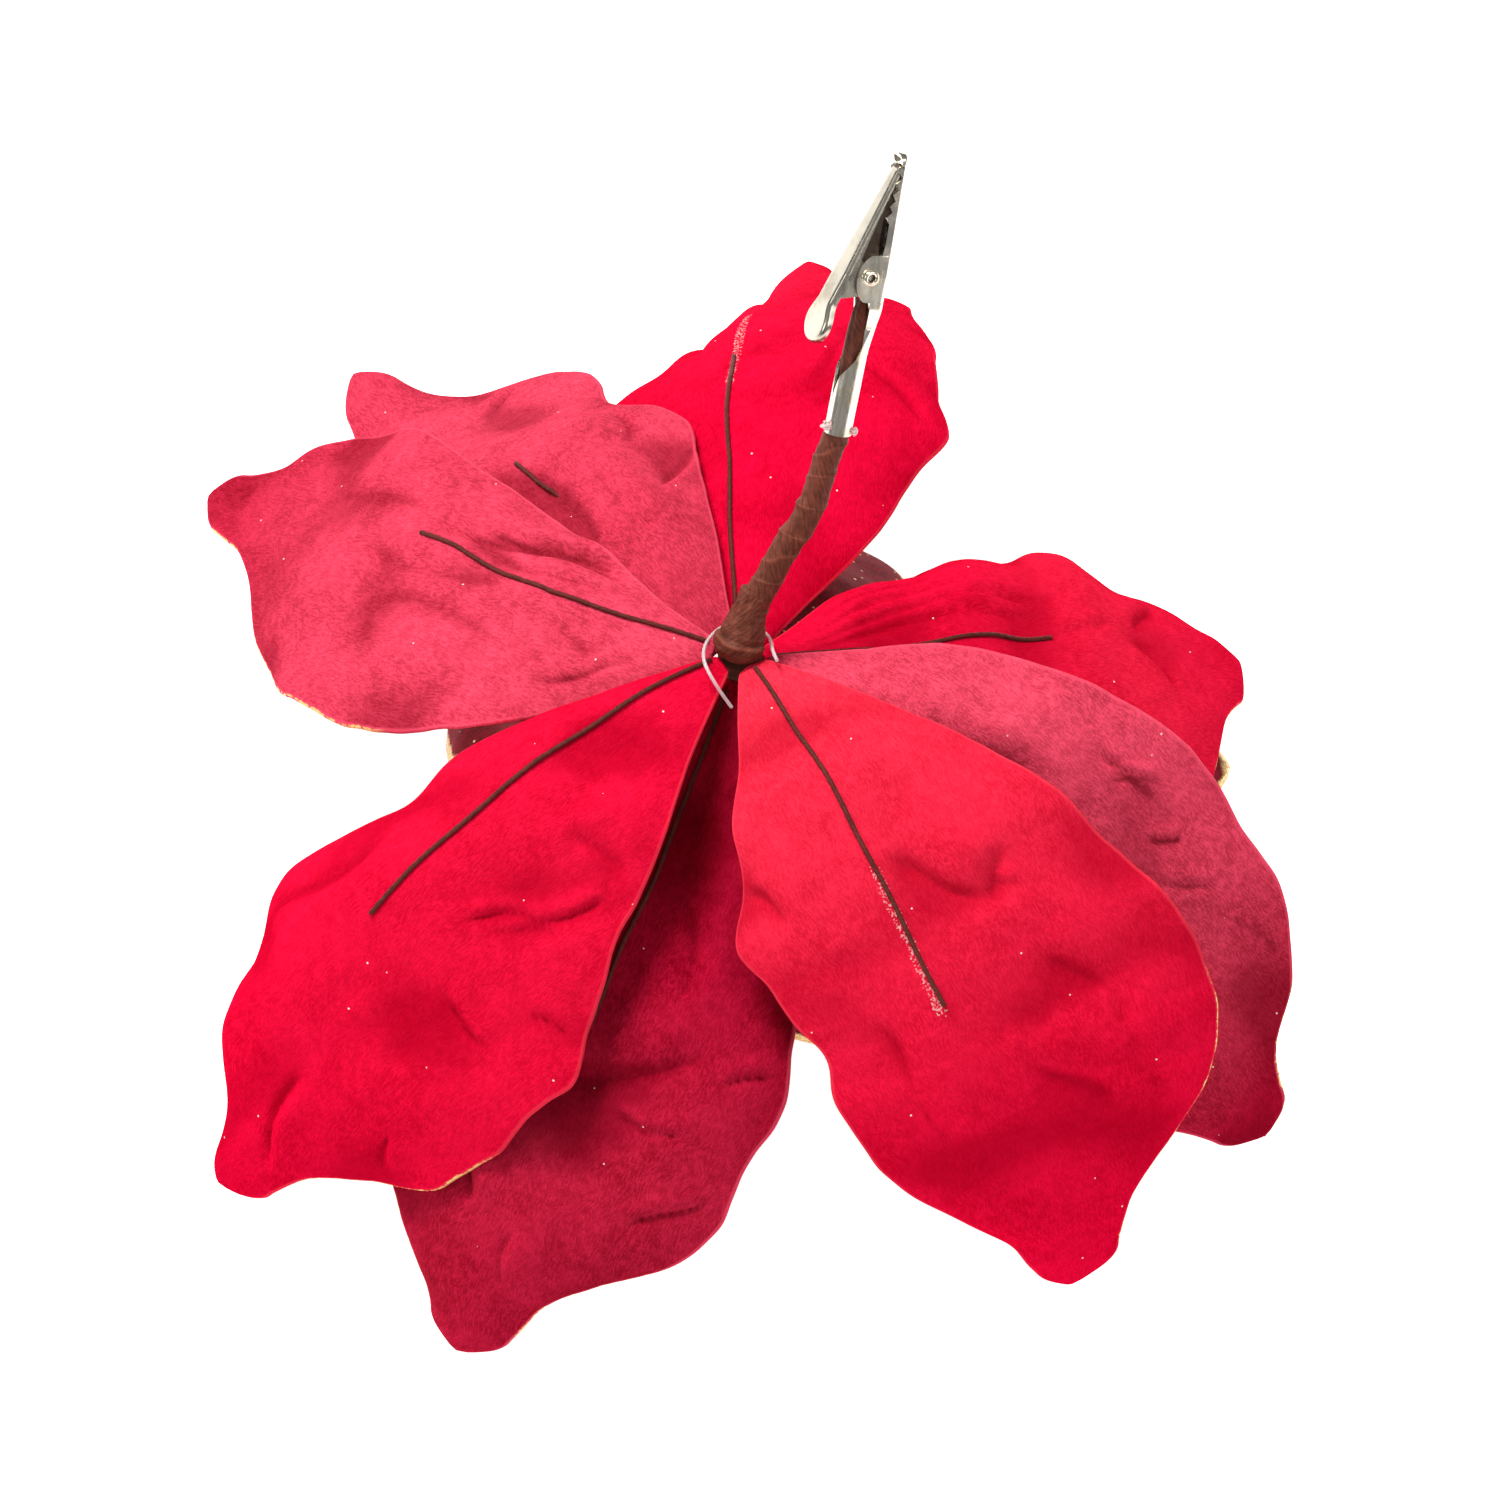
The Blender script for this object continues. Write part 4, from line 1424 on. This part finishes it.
def make_bundle():
    """The stem's end in the trough: a flat taped bundle with crushed lengthwise folds, thinner at its front."""
    x = np.linspace(-CLIP_REAR + 0.4, -4.4, 150)
    around = 56
    angle = turns(around)
    fit = np.interp(x, BUNDLE_AT, BUNDLE_WIDE)[:, None]
    tall = np.interp(x, BUNDLE_AT, BUNDLE_TALL)[:, None]
    folds = 0.10 * np.sin(angle * 7 + 0.25 * x[:, None])
    folds = folds + 0.07 * ripple(5, angle * 2.0, x[:, None] * 0.35, 7, 0.6, 2.4)
    size = 1 + (folds - 0.06) * 0.55
    path_z = BARREL_AXIS + np.interp(x, [-17.0, -10.0, -4.4], [0.0, 0.05, 0.15])
    grid = stacked(x[:, None], fit * np.cos(angle) * size, path_z[:, None] + tall * np.sin(angle) * size)
    ends = [np.repeat(np.array([[[x[k] + nib, 0.0, path_z[k]]]]), around, 1) for k, nib in ((0, 0.0), (-1, 0.25))]
    grid = np.concatenate([ends[0], grid, ends[1]])
    uv = stacked(angle * 1.7, np.concatenate([x[:1], x, x[-1:]])[:, None]) / 10.0
    surface = Surface("stem_end")
    surface.add(clip_to_world(grid), uv, wrap_columns=True, worn=0.0)
    piece = surface.build([finish("stem_tape")])
    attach(piece, "clip_arm")
    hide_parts("stem_end_bundle")


def make_glue(name, node, spread):
    """Blob of hot glue: a round lump whose radius swells and shrinks in uneven lobes."""
    low, high = (np.array(v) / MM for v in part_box(node))
    mid, half = (low + high) / 2, (high - low) / 2
    up = np.linspace(0, math.pi, 36)[:, None]
    angle = turns(48)
    shape = np.stack([np.sin(up) * np.cos(angle), np.sin(up) * np.sin(angle), np.cos(up) + 0 * angle], -1)
    lumps = 1 + 0.30 * np.sin(3 * angle + 2 * up + spread) * np.sin(up)
    lumps = lumps + 0.22 * np.sin(5 * up + angle * 2 + spread * 2)
    grid = mid + shape * half * 0.78 * lumps[..., None]
    surface = Surface(name)
    surface.add(grid, wrap_columns=True)
    piece = surface.build([finish("hot_glue")])
    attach(piece, "clip_arm")
    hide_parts(node)


class FLOWER_OT_clip(bpy.types.Operator):
    """Make the toothed clip, its rivet and spring, the stem's end and the glue."""
    bl_idname = "flower.clip"
    bl_label = "Toothed clip"

    def execute(self, context):
        make_lever()
        make_lower_jaw()
        make_rivet()
        make_spring()
        make_bundle()
        for side, spread in (("upper", 0.4), ("lower", 2.1)):
            make_glue("glue_" + side, "glue_bead_" + side, spread)
        return {"FINISHED"}


# ------------------------------------------------------------------ the nylon strand
def make_strand():
    """Thin nylon strand looped round the calyx, a smooth spline through its route's control points."""
    curve = bpy.data.curves.new("nylon_strand", "CURVE")
    curve.dimensions = "3D"
    spline = curve.splines.new("NURBS")
    points = (np.array(TAG_ROUTE) + ORIGIN) * MM
    spline.points.add(len(points) - 1)
    for point, place in zip(spline.points, points):
        point.co = (*place, 1.0)
    spline.order_u = 3
    spline.use_endpoint_u = True
    curve.bevel_depth = STRAND_DIAMETER / 2
    curve.bevel_resolution = 4
    curve.resolution_u = 16
    curve.use_fill_caps = True
    piece = bpy.data.objects.new("nylon_strand", curve)
    bpy.context.scene.collection.objects.link(piece)
    curve.materials.append(finish("nylon_strand"))
    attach(piece, "flower_head")
    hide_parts("tag_strand")
    length = float(along(points)[-1]) * 0.98
    tuple(points[0])


class FLOWER_OT_strand(bpy.types.Operator):
    """Make the nylon strand round the calyx."""
    bl_idname = "flower.strand"
    bl_label = "Nylon strand"

    def execute(self, context):
        make_strand()
        return {"FINISHED"}


# ------------------------------------------------------------------ stage
def camera_place():
    """Camera's place in metres: back from the aimed point along the view, which dips by CAMERA_ELEVATION."""
    e = math.radians(CAMERA_ELEVATION)
    forward = np.array([0.0, math.cos(e), -math.sin(e)])
    up = np.array([0.0, math.sin(e), math.cos(e)])
    return (ORIGIN + np.array(AIM) - forward * CAMERA_DISTANCE - up * AIM_DROP) * MM


def add_light(name, place, size, power, tint):
    """Square soft light at a place in metres, turned to LIT_POINT."""
    light = bpy.data.lights.new(name, "AREA")
    light.shape = "SQUARE"
    light.size, light.energy, light.color = size, power, tint
    lamp = bpy.data.objects.new(name, light)
    lamp.location = place
    towards = np.array(LIT_POINT) - np.array(place)
    yaw = math.atan2(towards[1], towards[0]) - math.pi / 2
    pitch = math.atan2(towards[2], math.hypot(towards[0], towards[1])) + math.pi / 2
    lamp.rotation_euler = (pitch, 0.0, yaw)
    bpy.context.scene.collection.objects.link(lamp)


def make_floor():
    """Plain pale flat floor just under the petals' tips, lit a little by itself so that shadows stay faint."""
    u = np.linspace(-1, 1, 41)[:, None]
    v = np.linspace(-1, 1, 41)[None, :]
    surface = Surface("floor")
    surface.add(stacked(u * FLOOR_HALF_SIZE, v * FLOOR_HALF_SIZE, -FLOOR_DROP))
    material, n, shader = new_material("pale_floor", Roughness=0.9, Specular_IOR_Level=0.05, Emission_Strength=0.95)
    place = n.place()
    join(n, shader, Base_Color=n.mix(n.noise(place, 6.0), (0.80, 0.80, 0.80, 1), (0.83, 0.83, 0.83, 1)))
    shader.inputs["Emission Color"].default_value = (1.0, 1.0, 1.0, 1.0)
    piece = surface.build([material], closed=False)
    piece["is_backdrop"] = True


def make_world():
    """Soft white surroundings, greyer towards the horizon, with dark panels for the metal to mirror."""
    world = bpy.data.worlds.new("studio")
    world.use_nodes = True
    n = Nodes(world.node_tree)
    background = world.node_tree.nodes["Background"]
    place = n.make("ShaderNodeTexCoord").outputs["Generated"]
    height = n.make("ShaderNodeSeparateXYZ", {"Vector": place}).outputs[2]
    tone = n.mix(n.step(height, 0.05, 0.75), (0.50, 0.50, 0.51, 1.0), (1.0, 1.0, 1.0, 1.0))
    panels = n.step(n.noise(place, 2.6, 1.0), 0.37, 0.50)
    tone = n.mix(panels, (0.05, 0.045, 0.04, 1.0), tone)
    n.tree.links.new(tone, background.inputs["Color"])
    background.inputs["Strength"].default_value = WORLD_STRENGTH
    bpy.context.scene.world = world


class FLOWER_OT_stage(bpy.types.Operator):
    """Make the camera, the floor, the soft lights and the surroundings."""
    bl_idname = "flower.stage"
    bl_label = "Stage"

    def execute(self, context):
        camera = bpy.data.cameras.new("camera")
        camera.lens, camera.sensor_width = CAMERA_LENS, 36.0
        camera.clip_start, camera.clip_end = 0.05, 20.0
        eye = bpy.data.objects.new("camera", camera)
        eye.location = camera_place()
        eye.rotation_euler = (math.radians(90 - CAMERA_ELEVATION), 0.0, 0.0)
        context.scene.collection.objects.link(eye)
        context.scene.camera = eye
        make_floor()
        make_world()
        for light in LIGHTS:
            add_light(*light)
        context.scene.view_settings.view_transform = "Standard"
        return {"FINISHED"}


class FLOWER_PT_panel(bpy.types.Panel):
    """Lists the flower clip's settings and the operators that make its pieces."""
    bl_idname = "FLOWER_PT_panel"
    bl_label = "Flower hair clip"
    bl_space_type = "VIEW_3D"
    bl_region_type = "UI"
    bl_category = "Flower Clip"

    def draw(self, context):
        for key, kind in SETTINGS.items():
            box = self.layout.box()
            for name in kind.__annotations__:
                box.prop(getattr(context.scene, key), name)
        for operator in OPERATORS:
            self.layout.operator(operator.bl_idname)


OPERATORS = (FLOWER_OT_stage, FLOWER_OT_strand, FLOWER_OT_petals, FLOWER_OT_inner_petals, FLOWER_OT_stem,
             FLOWER_OT_centre, FLOWER_OT_clip)


def register():
    """Registers the settings, operators and panel."""
    for kind in (*SETTINGS.values(), *OPERATORS, FLOWER_PT_panel):
        bpy.utils.register_class(kind)
    for key, kind in SETTINGS.items():
        setattr(bpy.types.Scene, key, bpy.props.PointerProperty(type=kind))


def unregister():
    """Removes them again."""
    for key in SETTINGS:
        delattr(bpy.types.Scene, key)
    for kind in reversed((*SETTINGS.values(), *OPERATORS, FLOWER_PT_panel)):
        bpy.utils.unregister_class(kind)


def main():
    """Makes every piece in order."""
    register()
    for name in ("stage", "strand", "petals", "inner_petals", "stem", "centre", "clip"):
        getattr(bpy.ops.flower, name)()
    plain = lambda box: [[float(v) for v in corner] for corner in box]
    {"cad": plain(CAD_BOX), "visual": plain(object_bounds())}


if __name__ == "__main__":
    main()
